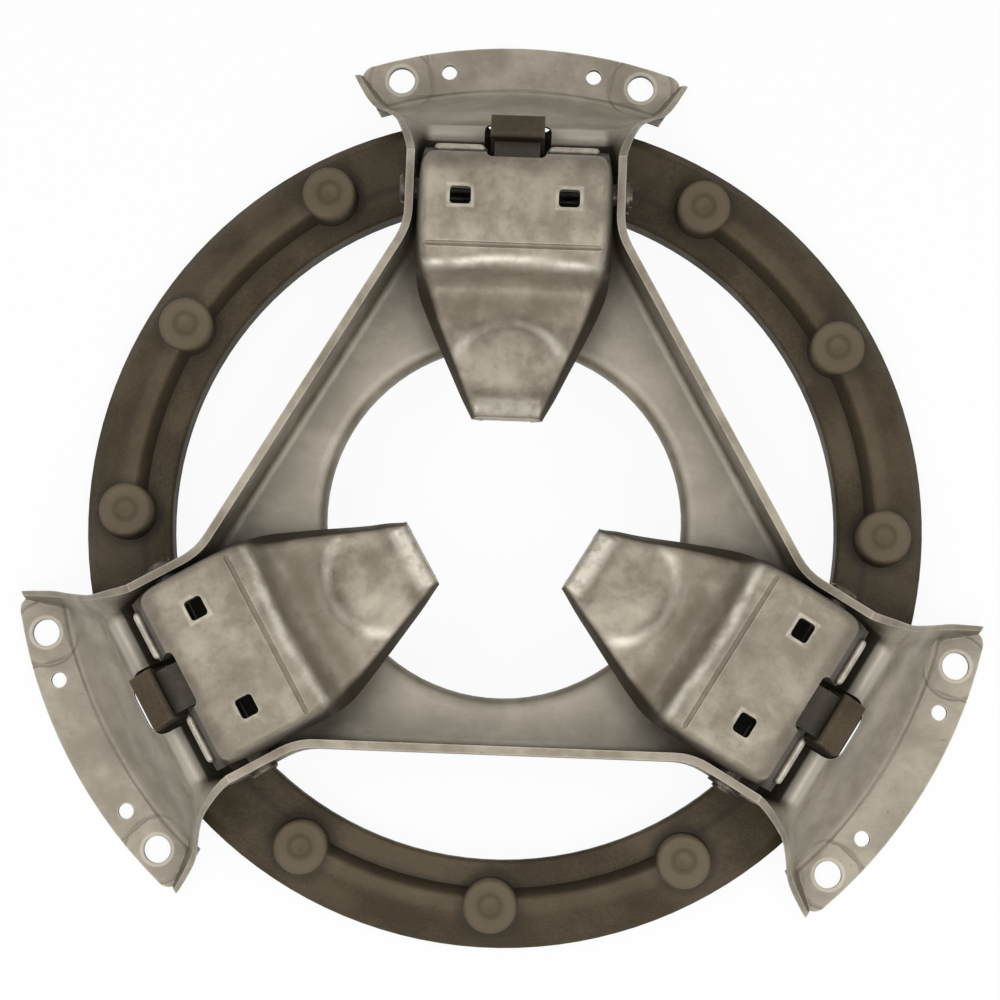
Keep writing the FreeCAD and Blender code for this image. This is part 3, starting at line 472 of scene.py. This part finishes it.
def cover_details(tree, place, height, colour, gloss):
    """Marks of the cover: pressed ears and folds with painted shade in them, a painted highlight beside the
    fold, a lighter flat floor, painted shade beside the levers and in the throats, and painted light on the
    ridges and slopes.
    """
    where = use_group(tree, ARM_PLACE, Vector=place)
    along, across, level, radius = (where[name] for name in ("Along", "Across", "Height", "Radius"))
    side = calc(tree, "ABSOLUTE", across)

    # Ears: pads about the bolt holes, and the creases that part them from the ear
    low = ramp(tree, level, 6 * MM, 4 * MM)
    from_bolt = distance_of(tree, calc(tree, "SUBTRACT", along, BOLT_CIRCLE_RADIUS * math.cos(BOLT_TURN)),
                            calc(tree, "SUBTRACT", side, BOLT_CIRCLE_RADIUS * math.sin(BOLT_TURN)))
    pad = line_mark(tree, from_bolt, BOLT_PAD_RADIUS, 0.9 * MM)
    rim = product(tree, line_mark(tree, from_bolt, BOLT_RIM_RADIUS, 0.8 * MM), low)
    angle = calc(tree, "ABSOLUTE", calc(tree, "ARCTAN2", across, along))
    crease = product(tree, line_mark(tree, angle, EAR_CREASE_TURN, 0.0042),
                     ramp(tree, radius, 143 * MM, 145 * MM))
    pressed = product(tree, calc(tree, "MAXIMUM", pad, crease), low)
    height = calc(tree, "SUBTRACT", height, product(tree, pressed, PRESSED_DEPTH))
    ear = ramp(tree, radius, 141 * MM, 143 * MM)
    fold = product(tree, line_mark(tree, radius, EAR_FOLD_RADIUS, 0.6 * MM), low)
    lit_fold = product(tree, line_mark(tree, radius, LIT_FOLD_RADIUS, 0.9 * MM), low)

    # Tray: flat floor near the hub hole painted lighter, patchy painted shade beside the levers
    flat_floor = product(tree, ramp(tree, level, 31.5 * MM, 30.4 * MM), ramp(tree, level, 28.5 * MM, 29.6 * MM),
                         ramp(tree, radius, 92 * MM, 80 * MM))
    beside = ramp(tree, calc(tree, "SUBTRACT", side, lever_side(tree, along, SIDE_AT_TIP)), 9 * MM, -1 * MM)
    beside_patches = ramp(tree, noise(tree, place, 90.0, 4.0), 0.30, 0.65, 0.7, 1.0)
    beside_shade = product(tree, beside, ramp(tree, along, 44 * MM, 58 * MM), ramp(tree, level, 36 * MM, 31 * MM),
                    ramp(tree, along, 110 * MM, 100 * MM), beside_patches)

    # Arm end: painted shade in the throat under the lever, painted highlight on the ridge and painted light on
    # the slope
    below_wall = ramp(tree, level, 42 * MM, 39 * MM)
    throat = product(tree, ramp(tree, along, 90 * MM, 96 * MM), ramp(tree, along, 117.0 * MM, 116.2 * MM),
                     below_wall)
    ridge = product(tree, ramp(tree, along, 116.4 * MM, 117.2 * MM), ramp(tree, along, 123.4 * MM, 121.6 * MM),
                    ramp(tree, side, 29 * MM, 26 * MM), ramp(tree, level, 27 * MM, 29 * MM), below_wall)
    slope = product(tree, ramp(tree, along, 124 * MM, 130 * MM), ramp(tree, radius, 142 * MM, 140 * MM),
                    ramp(tree, level, 40 * MM, 32 * MM))

    colour = paint(tree, colour,
                   # painted shade along the pressed lines
                   (pressed, 0.55, STEEL_DARK),
                   (ear, 0.10, STEEL_BRIGHT),
                   # painted shade in the fold, then a painted highlight beside it
                   (fold, 0.45, STAIN_AND_SHADE_BROWN),
                   (lit_fold, 0.30, STEEL_BRIGHT),
                   # flat floor painted lighter
                   (flat_floor, 0.30, STEEL_BRIGHT),
                   # painted shade beside the levers
                   (beside_shade, 0.80, STAIN_AND_SHADE_BROWN),
                   # painted shade in the throat, painted highlight on the ridge, painted light on the slope
                   (throat, 0.85, SHADE_DARK),
                   (ridge, 0.55, STEEL_BRIGHT),
                   (slope, 0.26, STEEL_BRIGHT),
                   (rim, 0.50, STEEL_BRIGHT))
    return height, colour, gloss


def square_hole_mark(tree, along, side, distance, width):
    """Band that runs round the square holes of a lever at a distance from their sides."""
    off_along = calc(tree, "ABSOLUTE", calc(tree, "SUBTRACT", along, SQUARE_HOLE_PLACE))
    off_side = calc(tree, "ABSOLUTE", calc(tree, "SUBTRACT", side, SQUARE_HOLE_SIDE))
    outside = calc(tree, "MAXIMUM", calc(tree, "SUBTRACT", off_along, SQUARE_HOLE_HALF_LENGTH),
                   calc(tree, "SUBTRACT", off_side, SQUARE_HOLE_HALF_WIDTH))
    return line_mark(tree, outside, distance, width)


def lever_details(tree, place, height, colour, gloss):
    """Marks of a lever: painted highlights on the shoulder, step and dome; rubbed hole rims and tip; painted
    shade in the valley, hollow, crease and holes, on the sides, the flange and the outer end.
    """
    where = use_group(tree, ARM_PLACE, Vector=place)
    along, across, level = where["Along"], where["Across"], where["Height"]
    side = calc(tree, "ABSOLUTE", across)
    patchy = ramp(tree, noise(tree, mapped(tree, place, shift=(2.0, 5.0, 1.0)), 150.0, 4.0), 0.34, 0.62)
    shade_patches = ramp(tree, noise(tree, mapped(tree, place, shift=(6.0, 1.0, 2.0)), 55.0, 4.0),
                   0.32, 0.62, 0.45, 1.0)

    # Painted highlights: the shoulder, which swings a little across the lever, and the dome's outer edge
    swing = calc(tree, "COSINE", product(tree, across, FULL_TURN / SHOULDER_SWING_LENGTH))
    shoulder_line = calc(tree, "ADD", along, product(tree, swing, -SHOULDER_SWING))
    wobble = product(tree, calc(tree, "SUBTRACT", noise(tree, place, 120.0, 3.0), 0.5), 2.2 * MM)
    shoulder = line_mark(tree, calc(tree, "ADD", shoulder_line, wobble), SHOULDER_PLACE, 2.4 * MM)
    dome_radius = distance_of(
        tree, calc(tree, "DIVIDE", calc(tree, "SUBTRACT", along, DOME_PLACE), DOME_HALF_LENGTH),
        calc(tree, "DIVIDE", across, DOME_HALF_WIDTH))
    dome = product(tree, line_mark(tree, dome_radius, 1.0, 0.20), ramp(tree, along, 44 * MM, 50 * MM))
    shoulder_dome_highlight = calc(tree, "MAXIMUM", product(tree, shoulder, 0.95), product(tree, dome, 0.85))
    shoulder_dome_highlight = product(tree, shoulder_dome_highlight, raised(tree, patchy, 0.35))
    # painted highlight along the step
    step = product(tree, line_mark(tree, along, STEP_PLACE, 3.4 * MM), ramp(tree, side, 26 * MM, 23 * MM))

    # Painted shade: the valley, the hollow about the dome, the outer end, the folded sides, the flange and the
    # crease
    valley = product(tree, line_mark(tree, along, VALLEY_PLACE, 8.5 * MM), shade_patches)
    hollow = product(tree, ramp(tree, dome_radius, 1.05, 1.5), ramp(tree, along, 62 * MM, 52 * MM),
                     ramp(tree, along, 33 * MM, 38 * MM))
    outer = product(tree, ramp(tree, along, 98 * MM, 107 * MM), shade_patches)
    facing = tree.nodes.new("ShaderNodeTexCoord").outputs["Normal"]
    steep = ramp(tree, add(tree, "ShaderNodeSeparateXYZ", {"Vector": facing}).outputs["Z"], 0.92, 0.60)
    fold_side = calc(tree, "MINIMUM", lever_side(tree, along, FOLD_AT_TIP), FOLD_WIDEST)
    beyond = ramp(tree, calc(tree, "SUBTRACT", side, fold_side), -0.8 * MM, 1.2 * MM)
    flank = product(tree, steep, beyond)
    flange = product(tree, ramp(tree, level, 60.2 * MM, 58.6 * MM), ramp(tree, along, 106 * MM, 108 * MM))
    crease = product(tree, line_mark(tree, along, CREASE_PLACE, 0.7 * MM),
                     ramp(tree, side, 27.6 * MM, 26.6 * MM))

    # Square holes, with painted shade inside them, and the pad at the tip
    hole_rim = product(tree, square_hole_mark(tree, along, side, 0.5 * MM, 0.9 * MM), patchy)
    hole_inside = square_hole_mark(tree, along, side, -1.5 * MM, 1.5 * MM)
    pad = product(tree, ramp(tree, along, 35 * MM, 32.5 * MM), ramp(tree, side, 10.5 * MM, 9.0 * MM))
    ragged = ramp(tree, noise(tree, place, 300.0, 4.0), 0.30, 0.60)
    rubbed = product(tree, pad, raised(tree, ragged, 0.3))

    colour = paint(tree, colour,
                   (shoulder_dome_highlight, 1.0, STEEL_BRIGHT),
                   (step, 0.45, STEEL_LIGHT),
                   # painted shade from the valley to the crease
                   (valley, 0.78, STAIN_AND_SHADE_BROWN),
                   (hollow, 0.50, STEEL_DARK),
                   (outer, 0.40, STEEL_DARK),
                   (flank, 0.88, SHADE_DARK),
                   (flange, 0.90, SHADE_DARK),
                   (crease, 0.70, STAIN_AND_SHADE_BROWN),
                   (hole_rim, 0.55, STEEL_BRIGHT),
                   # painted shade inside the holes
                   (hole_inside, 0.90, SHADE_DARK),
                   (rubbed, 0.60, STEEL_BRIGHT))
    smoothed = product(tree, calc(tree, "MAXIMUM", rubbed, shoulder_dome_highlight), 0.12)
    return height, colour, calc(tree, "SUBTRACT", gloss, smoothed, clamp=True)


def make_cast_ring():
    """Dark cast iron with rubbed lugs and bosses and a turned friction face, painted light on its upper side
    and boss rims, and painted shade in its dimples, corners and hollows and on its lugs' inner faces.
    """
    material, tree, shader, place = new_material("ring cast iron")
    where = use_group(tree, ARM_PLACE, Vector=place)
    along, across, level, radius = (where[name] for name in ("Along", "Across", "Height", "Radius"))
    skin = use_group(tree, CAST_SKIN, Vector=place, Grain_Size=0.0009)
    rings = use_group(tree, TURNED_RINGS, Vector=place, Distance=radius, Pitch=0.0005)
    shade_mask = use_group(tree, CORNER_SHADE, Vector=place, Reach=0.009, Amount=0.8)["Mask"]
    edges = use_group(tree, EDGE_POLISH, Vector=place, Width=0.0009, Breaks=0.5)["Mask"]
    marks = use_group(tree, SCRATCHES, Vector=place, Length=0.03)["Mask"]

    # Lugs above, then the upper side with its rib, and the place on the nearest boss
    on_lug = ramp(tree, level, 24 * MM, 28 * MM)
    off_lug = inverse(tree, on_lug)
    upper = product(tree, ramp(tree, level, 15 * MM, 19.6 * MM), off_lug)
    lug_face = product(tree, on_lug, ramp(tree, along, 116.6 * MM, 115.9 * MM))
    rib_flank = product(tree, line_mark(tree, radius, RIB_FLANK_RADIUS, 2.2 * MM),
                        ramp(tree, level, 17.0 * MM, 15.5 * MM))
    off_boss = folded_angle(tree, calc(tree, "ARCTAN2", across, along), BOSS_STEP)
    from_boss = distance_of(
        tree, calc(tree, "SUBTRACT", product(tree, radius, calc(tree, "COSINE", off_boss)), BOSS_CIRCLE_RADIUS),
        product(tree, radius, calc(tree, "SINE", off_boss)))
    on_boss = product(tree, ramp(tree, level, 18.2 * MM, 18.8 * MM), off_lug)
    dimple = product(tree, line_mark(tree, from_boss, BOSS_DIMPLE_RADIUS, 1.5 * MM), on_boss)
    boss_rim = product(tree, line_mark(tree, from_boss, BOSS_RIM_RADIUS, 1.4 * MM), on_boss)
    foot = product(tree, line_mark(tree, from_boss, BOSS_FOOT_RADIUS, 2.6 * MM),
                   ramp(tree, level, 18.0 * MM, 16.5 * MM))
    worn_edges = product(tree, edges, calc(tree, "ADD", 0.45, product(tree, on_lug, 0.4)))
    iron = paint(tree, blend_colour(tree, skin["Tone"], CAST_DARK, CAST_MIDDLE),
                 # painted light on the upper side
                 (upper, 0.75, CAST_LIGHT),
                 # painted shade in the boss dimples
                 (dimple, 0.55, CAST_DARK),
                 # painted highlight on the boss rims
                 (boss_rim, 0.30, STEEL_DARK),
                 # painted shade on the rib's inner flank, about the boss feet and on the lugs' inner faces
                 (rib_flank, 0.75, SHADE_DARK),
                 (foot, 0.55, SHADE_DARK),
                 (lug_face, 0.85, SHADE_DARK),
                 (worn_edges, 1.0, STEEL_DARK),
                 # painted shade in corners and gaps
                 (shade_mask, 1.0, SHADE_DARK))

    # The turned face below takes over from the cast skin
    face = ramp(tree, level, 0.9 * MM, 0.6 * MM)
    off_face = inverse(tree, face)
    turned = paint(tree, blend_colour(tree, rings["Tone"], STEEL_MIDDLE, FACE_STEEL), (marks, 0.4, STEEL_DARK))
    rough = ramp(tree, skin["Tone"], 0.0, 1.0, 0.72, 0.58)
    smooth = ramp(tree, rings["Tone"], 0.0, 1.0, 0.30, 0.42)
    set_finish(tree, shader, blend_colour(tree, face, iron, turned),
               weighed_sum(tree, rough, off_face, smooth, face),
               ramp(tree, face, 0.0, 1.0, 0.0, 0.9),
               weighed_sum(tree, skin["Height"], off_face, rings["Height"], face))
    shader.inputs["Specular IOR Level"].default_value = 0.3
    return material


def make_pin_steel(name, arm, dark, light):
    """Dull turned steel, its tool rings about the pivot line of one arm."""
    material, tree, shader, place = new_material(name)
    angle = arm_angle(arm)
    centre = Vector((PIVOT_PLACE * math.cos(angle), PIVOT_PLACE * math.sin(angle), PIVOT_HEIGHT))
    from_centre = add(tree, "ShaderNodeVectorMath", {0: place, 1: centre}, operation="SUBTRACT").outputs[0]
    own = mapped(tree, from_centre, turn=(0, 0, -angle))
    parts = add(tree, "ShaderNodeSeparateXYZ", {"Vector": own}).outputs
    rings = use_group(tree, TURNED_RINGS, Vector=place, Distance=distance_of(tree, parts["X"], parts["Z"]),
                      Pitch=0.0003)
    edges = use_group(tree, EDGE_POLISH, Vector=place, Width=0.0005, Breaks=0.3)["Mask"]
    shade_mask = use_group(tree, CORNER_SHADE, Vector=place, Reach=0.004, Amount=0.7)["Mask"]
    dull = ramp(tree, noise(tree, place, 210.0, 4.0), 0.4, 0.7)
    colour = paint(tree, blend_colour(tree, rings["Tone"], dark, light),
                   (dull, 0.5, dark),
                   (edges, 1.0, light),
                   # painted shade in corners and gaps
                   (shade_mask, 1.0, SHADE_DARK))
    set_finish(tree, shader, colour, ramp(tree, dull, 0.0, 1.0, 0.34, 0.52), 0.8, rings["Height"])
    return material


def make_spring_steel():
    """Dark oil-hardened spring wire, peened and rubbed bright where it bears."""
    material, tree, shader, place = new_material("spring wire")
    peened = noise(tree, place, 1500.0, 3.0, 0.6)
    patches = ramp(tree, noise(tree, place, 120.0, 4.0), 0.35, 0.68)
    edges = use_group(tree, EDGE_POLISH, Vector=place, Width=0.0008, Breaks=0.4)["Mask"]
    shade_mask = use_group(tree, CORNER_SHADE, Vector=place, Reach=0.004, Amount=0.5)["Mask"]
    colour = paint(tree, blend_colour(tree, patches, SPRING_DARK, SPRING_LIGHT),
                   (edges, 0.8, STEEL_MIDDLE),
                   # painted shade in corners and gaps
                   (shade_mask, 1.0, SHADE_DARK))
    set_finish(tree, shader, colour, ramp(tree, patches, 0.0, 1.0, 0.55, 0.38), 0.85,
               product(tree, peened, 0.03 * MM))
    return material


def make_spring_tree(material):
    """Geometry tree of a coil spring with closed ground ends, in its place on an arm."""
    tree = bpy.data.node_groups.new("coil spring", "GeometryNodeTree")
    sockets = {}
    for label, kind in (("Turns", FLOAT), ("Wire", FLOAT), ("Coil Radius", FLOAT), ("Height", FLOAT),
                        ("Closed Ends", FLOAT), ("Foot", VECTOR), ("Arm Angle", FLOAT)):
        sockets[label] = tree.interface.new_socket(name=label, in_out="INPUT", socket_type=kind).identifier
    tree.interface.new_socket(name="Geometry", in_out="OUTPUT", socket_type="NodeSocketGeometry")
    entry = tree.nodes.new("NodeGroupInput").outputs
    leave = tree.nodes.new("NodeGroupOutput")

    # A spiral whose ends lie nearly flat, swept with the wire's circle
    rise = calc(tree, "SUBTRACT", entry["Height"], entry["Wire"])
    line = add(tree, "GeometryNodeCurveSpiral", {
        "Resolution": SPRING_STEPS, "Rotations": entry["Turns"], "Start Radius": entry["Coil Radius"],
        "End Radius": entry["Coil Radius"], "Height": rise})
    share = add(tree, "GeometryNodeSplineParameter").outputs["Factor"]
    lag = calc(tree, "DIVIDE", calc(tree, "SINE", product(tree, share, FULL_TURN)), FULL_TURN)
    lower = product(tree, lag, entry["Closed Ends"], -1.0, rise)
    shift = add(tree, "ShaderNodeCombineXYZ", {"Z": lower}).outputs[0]
    eased = add(tree, "GeometryNodeSetPosition", {"Geometry": line.outputs[0], "Offset": shift})
    profile = add(tree, "GeometryNodeCurvePrimitiveCircle", {
        "Resolution": SPRING_WIRE_SIDES, "Radius": calc(tree, "DIVIDE", entry["Wire"], 2.0)})
    wire = add(tree, "GeometryNodeCurveToMesh", {
        "Curve": eased.outputs[0], "Profile Curve": profile.outputs[0], "Fill Caps": True})

    # Both ends ground flat, then the spring is set on its foot and turned to its arm
    here = add(tree, "GeometryNodeInputPosition").outputs[0]
    spot = add(tree, "ShaderNodeSeparateXYZ", {"Vector": here}).outputs
    flat = product(tree, entry["Wire"], SPRING_GROUND_SHARE)
    ground_top = calc(tree, "MINIMUM", spot["Z"], calc(tree, "ADD", rise, flat))
    ground = calc(tree, "MAXIMUM", ground_top, product(tree, flat, -1.0))
    trimmed = add(tree, "ShaderNodeCombineXYZ", {"X": spot["X"], "Y": spot["Y"], "Z": ground}).outputs[0]
    cut = add(tree, "GeometryNodeSetPosition", {"Geometry": wire.outputs[0], "Position": trimmed})
    foot = add(tree, "GeometryNodeTransform", {"Geometry": cut.outputs[0], "Translation": entry["Foot"]})
    turn = add(tree, "ShaderNodeCombineXYZ", {"Z": entry["Arm Angle"]}).outputs[0]
    turned = add(tree, "GeometryNodeTransform", {"Geometry": foot.outputs[0], "Rotation": turn})
    real = add(tree, "GeometryNodeRealizeInstances", {"Geometry": turned.outputs[0]})
    finish = add(tree, "GeometryNodeSetMaterial", {"Geometry": real.outputs[0], "Material": material})
    tree.links.new(finish.outputs[0], leave.inputs[0])
    return tree, sockets


def make_spring(arm, tree, sockets):
    """The pressure spring of one arm as a plain mesh."""
    holder = put_in_scene("spring maker", bpy.data.meshes.new("spring maker"))
    modifier = holder.modifiers.new("coil", "NODES")
    modifier.node_group = tree
    values = {"Turns": SPRING_TURNS, "Wire": SPRING_WIRE, "Coil Radius": SPRING_RADIUS,
              "Height": SPRING_HEIGHT, "Closed Ends": SPRING_CLOSED_ENDS,
              "Foot": (SPRING_PLACE, 0.0, SPRING_FOOT + SPRING_WIRE / 2), "Arm Angle": arm_angle(arm)}
    for label, value in values.items():
        modifier[sockets[label]] = value
    graph = bpy.context.evaluated_depsgraph_get()
    mesh = bpy.data.meshes.new_from_object(holder.evaluated_get(graph))
    bpy.data.objects.remove(holder)
    mesh.name = "coil spring"
    mesh.shade_smooth()
    spring = put_in_scene(f"coil_spring_{arm}", mesh)
    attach(spring, "cover")
    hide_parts(f"pressure_spring_{arm}")
    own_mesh(spring)


def lip_length(side):
    """Corners and faces of the lip's length on one side of the lug, its ends rounded off."""
    corners, faces = [], []
    for station in range(LIP_STATIONS + 1):
        share = station / LIP_STATIONS
        shrink = math.sqrt(max(0.0, 1.0 - (2 * share - 1) ** LIP_END_POWER))
        radius = LIP_RADIUS * max(shrink, LIP_END_SHARE)
        across = side * (LIP_INNER + (LIP_OUTER - LIP_INNER) * share)
        for corner in range(LIP_SIDES):
            turn = FULL_TURN * corner / LIP_SIDES
            along = LIP_PLACE + radius * math.cos(turn)
            corners.append((along, across, LIP_HEIGHT + radius * math.sin(turn)))
    for here in range(0, LIP_STATIONS * LIP_SIDES, LIP_SIDES):
        for corner in range(LIP_SIDES):
            nearby = (corner + 1) % LIP_SIDES
            faces.append((here + corner, here + nearby, here + LIP_SIDES + nearby, here + LIP_SIDES + corner))
    faces.append(tuple(reversed(range(LIP_SIDES))))
    faces.append(tuple(range(len(corners) - LIP_SIDES, len(corners))))
    return corners, faces if side < 0 else [face[::-1] for face in faces]


def make_lip(arm, material):
    """Rolled lip at the outer end of a lever, in two lengths beside the lug."""
    corners, faces = [], []
    for side in (-1, 1):
        more_corners, more_faces = lip_length(side)
        faces += [tuple(len(corners) + corner for corner in face) for face in more_faces]
        corners += more_corners
    cosine, sine = math.cos(arm_angle(arm)), math.sin(arm_angle(arm))
    placed = [(x * cosine - y * sine, x * sine + y * cosine, z) for x, y, z in corners]
    mesh = bpy.data.meshes.new("rolled lip")
    mesh.from_pydata(placed, [], faces)
    mesh.materials.append(material)
    mesh.shade_smooth()
    lip = put_in_scene(f"rolled_lip_{arm}", mesh)
    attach(lip, f"lever_{arm}")


def dress(node, material):
    """Give a CAD node its finish."""
    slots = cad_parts[node].data.materials
    slots.clear()
    slots.append(material)


def make_camera():
    """Camera at the photograph's place and angle."""
    data = bpy.data.cameras.new("camera")
    data.lens = CAMERA_LENS
    data.sensor_width = CAMERA_SENSOR
    data.clip_start = CAMERA_NEAR
    camera = put_in_scene("camera", data)
    turn = (Matrix.Rotation(math.radians(CAMERA_SIDE_DEG), 4, "Y")
            @ Matrix.Rotation(math.radians(CAMERA_LEAN_DEG), 4, "X")
            @ Matrix.Rotation(math.radians(CAMERA_ROLL_DEG), 4, "Z"))
    camera.matrix_world = Matrix.Translation(CAMERA_PLACE) @ turn
    bpy.context.scene.camera = camera


def seen_directly(tree):
    """Share that is one for what the camera sees, also in gloss or through glass."""
    rays = add(tree, "ShaderNodeLightPath").outputs
    return calc(tree, "MAXIMUM", rays["Is Camera Ray"],
                calc(tree, "MAXIMUM", rays["Is Glossy Ray"], rays["Is Transmission Ray"]))


def make_floor():
    """Plain pale floor that keeps the object's shadow."""
    mesh = bpy.data.meshes.new("floor")
    corners = [(x * FLOOR_REACH, y * FLOOR_REACH, 0) for x, y in ((-1, -1), (1, -1), (1, 1), (-1, 1))]
    mesh.from_pydata(corners, [], [(0, 1, 2, 3)])
    floor = put_in_scene("floor", mesh)
    material = bpy.data.materials.new("pale floor")
    material.use_nodes = True
    tree = material.node_tree
    tree.nodes.clear()
    matt = add(tree, "ShaderNodeBsdfDiffuse", {"Color": FLOOR_PALE})
    glow = add(tree, "ShaderNodeEmission", {"Color": WHITE, "Strength": 1.0})
    share = product(tree, seen_directly(tree), FLOOR_SEEN_WHITE)
    mix = add(tree, "ShaderNodeMixShader", {0: share, 1: matt.outputs[0], 2: glow.outputs[0]})
    leave = tree.nodes.new("ShaderNodeOutputMaterial")
    tree.links.new(mix.outputs[0], leave.inputs["Surface"])
    mesh.materials.append(material)


def make_world():
    """White surround at a plain light level."""
    world = bpy.data.worlds.new("studio")
    bpy.context.scene.world = world
    world.use_nodes = True
    tree = world.node_tree
    tree.nodes.clear()
    strength = raised(tree, seen_directly(tree), SURROUND_LIGHT)
    light = add(tree, "ShaderNodeBackground", {"Color": WHITE, "Strength": strength})
    leave = tree.nodes.new("ShaderNodeOutputWorld")
    tree.links.new(light.outputs[0], leave.inputs["Surface"])


def make_lamp(name, place, size, power):
    """Large soft lamp that faces the object."""
    data = bpy.data.lights.new(name, "AREA")
    data.shape = "RECTANGLE"
    data.size, data.size_y = size
    data.energy = power
    lamp = put_in_scene(name, data)
    lamp.location = place
    lamp.rotation_mode = "QUATERNION"
    lamp.rotation_quaternion = (Vector(LAMP_TARGET) - Vector(place)).to_track_quat("-Z", "Y")


make_camera()
make_floor()
make_world()
for lamp_settings in LAMPS:
    make_lamp(*lamp_settings)

dress("cover_pressing", make_sheet_steel("cover pressed steel", reach=0.028, open_share=0.90,
                                         wear_at=cover_details))
dress("pressure_ring", make_cast_ring())
spring_tree, spring_sockets = make_spring_tree(make_spring_steel())
for number in ARMS:
    back = -arm_angle(number)
    dress(f"release_lever_{number}", make_sheet_steel(
        f"lever steel {number}", turn=back, shift=1.7 * number, patch=0.013, dent=0.00030,
        wear_at=lever_details))
    dress(f"pivot_pin_{number}", make_pin_steel(f"turned pin {number}", number, SPRING_DARK, STEEL_DARK))
    dress(f"pin_clip_{number}", make_pin_steel(f"clip steel {number}", number, SPRING_DARK, SPRING_LIGHT))
    dress(f"spring_cup_{number}", make_sheet_steel(
        f"cup steel {number}", turn=back, shift=4.1 * number, dent=0.00008, light=STEEL_MIDDLE,
        middle=STEEL_DARK))
    dress(f"spring_seat_{number}", make_sheet_steel(
        f"seat steel {number}", turn=back, shift=2.3 * number, dent=0.00005, rough=(0.28, 0.42)))
    make_spring(number, spring_tree, spring_sockets)
    # The lip's steel is a brighter copy of the lever steel: painted highlight on the rolled lip
    make_lip(number, make_sheet_steel(
        f"lip steel with painted highlight {number}", turn=back, shift=0.9 * number, patch=0.009, dent=0.00006,
        light=STEEL_BRIGHT, middle=STEEL_LIGHT, rough=(0.34, 0.50)))
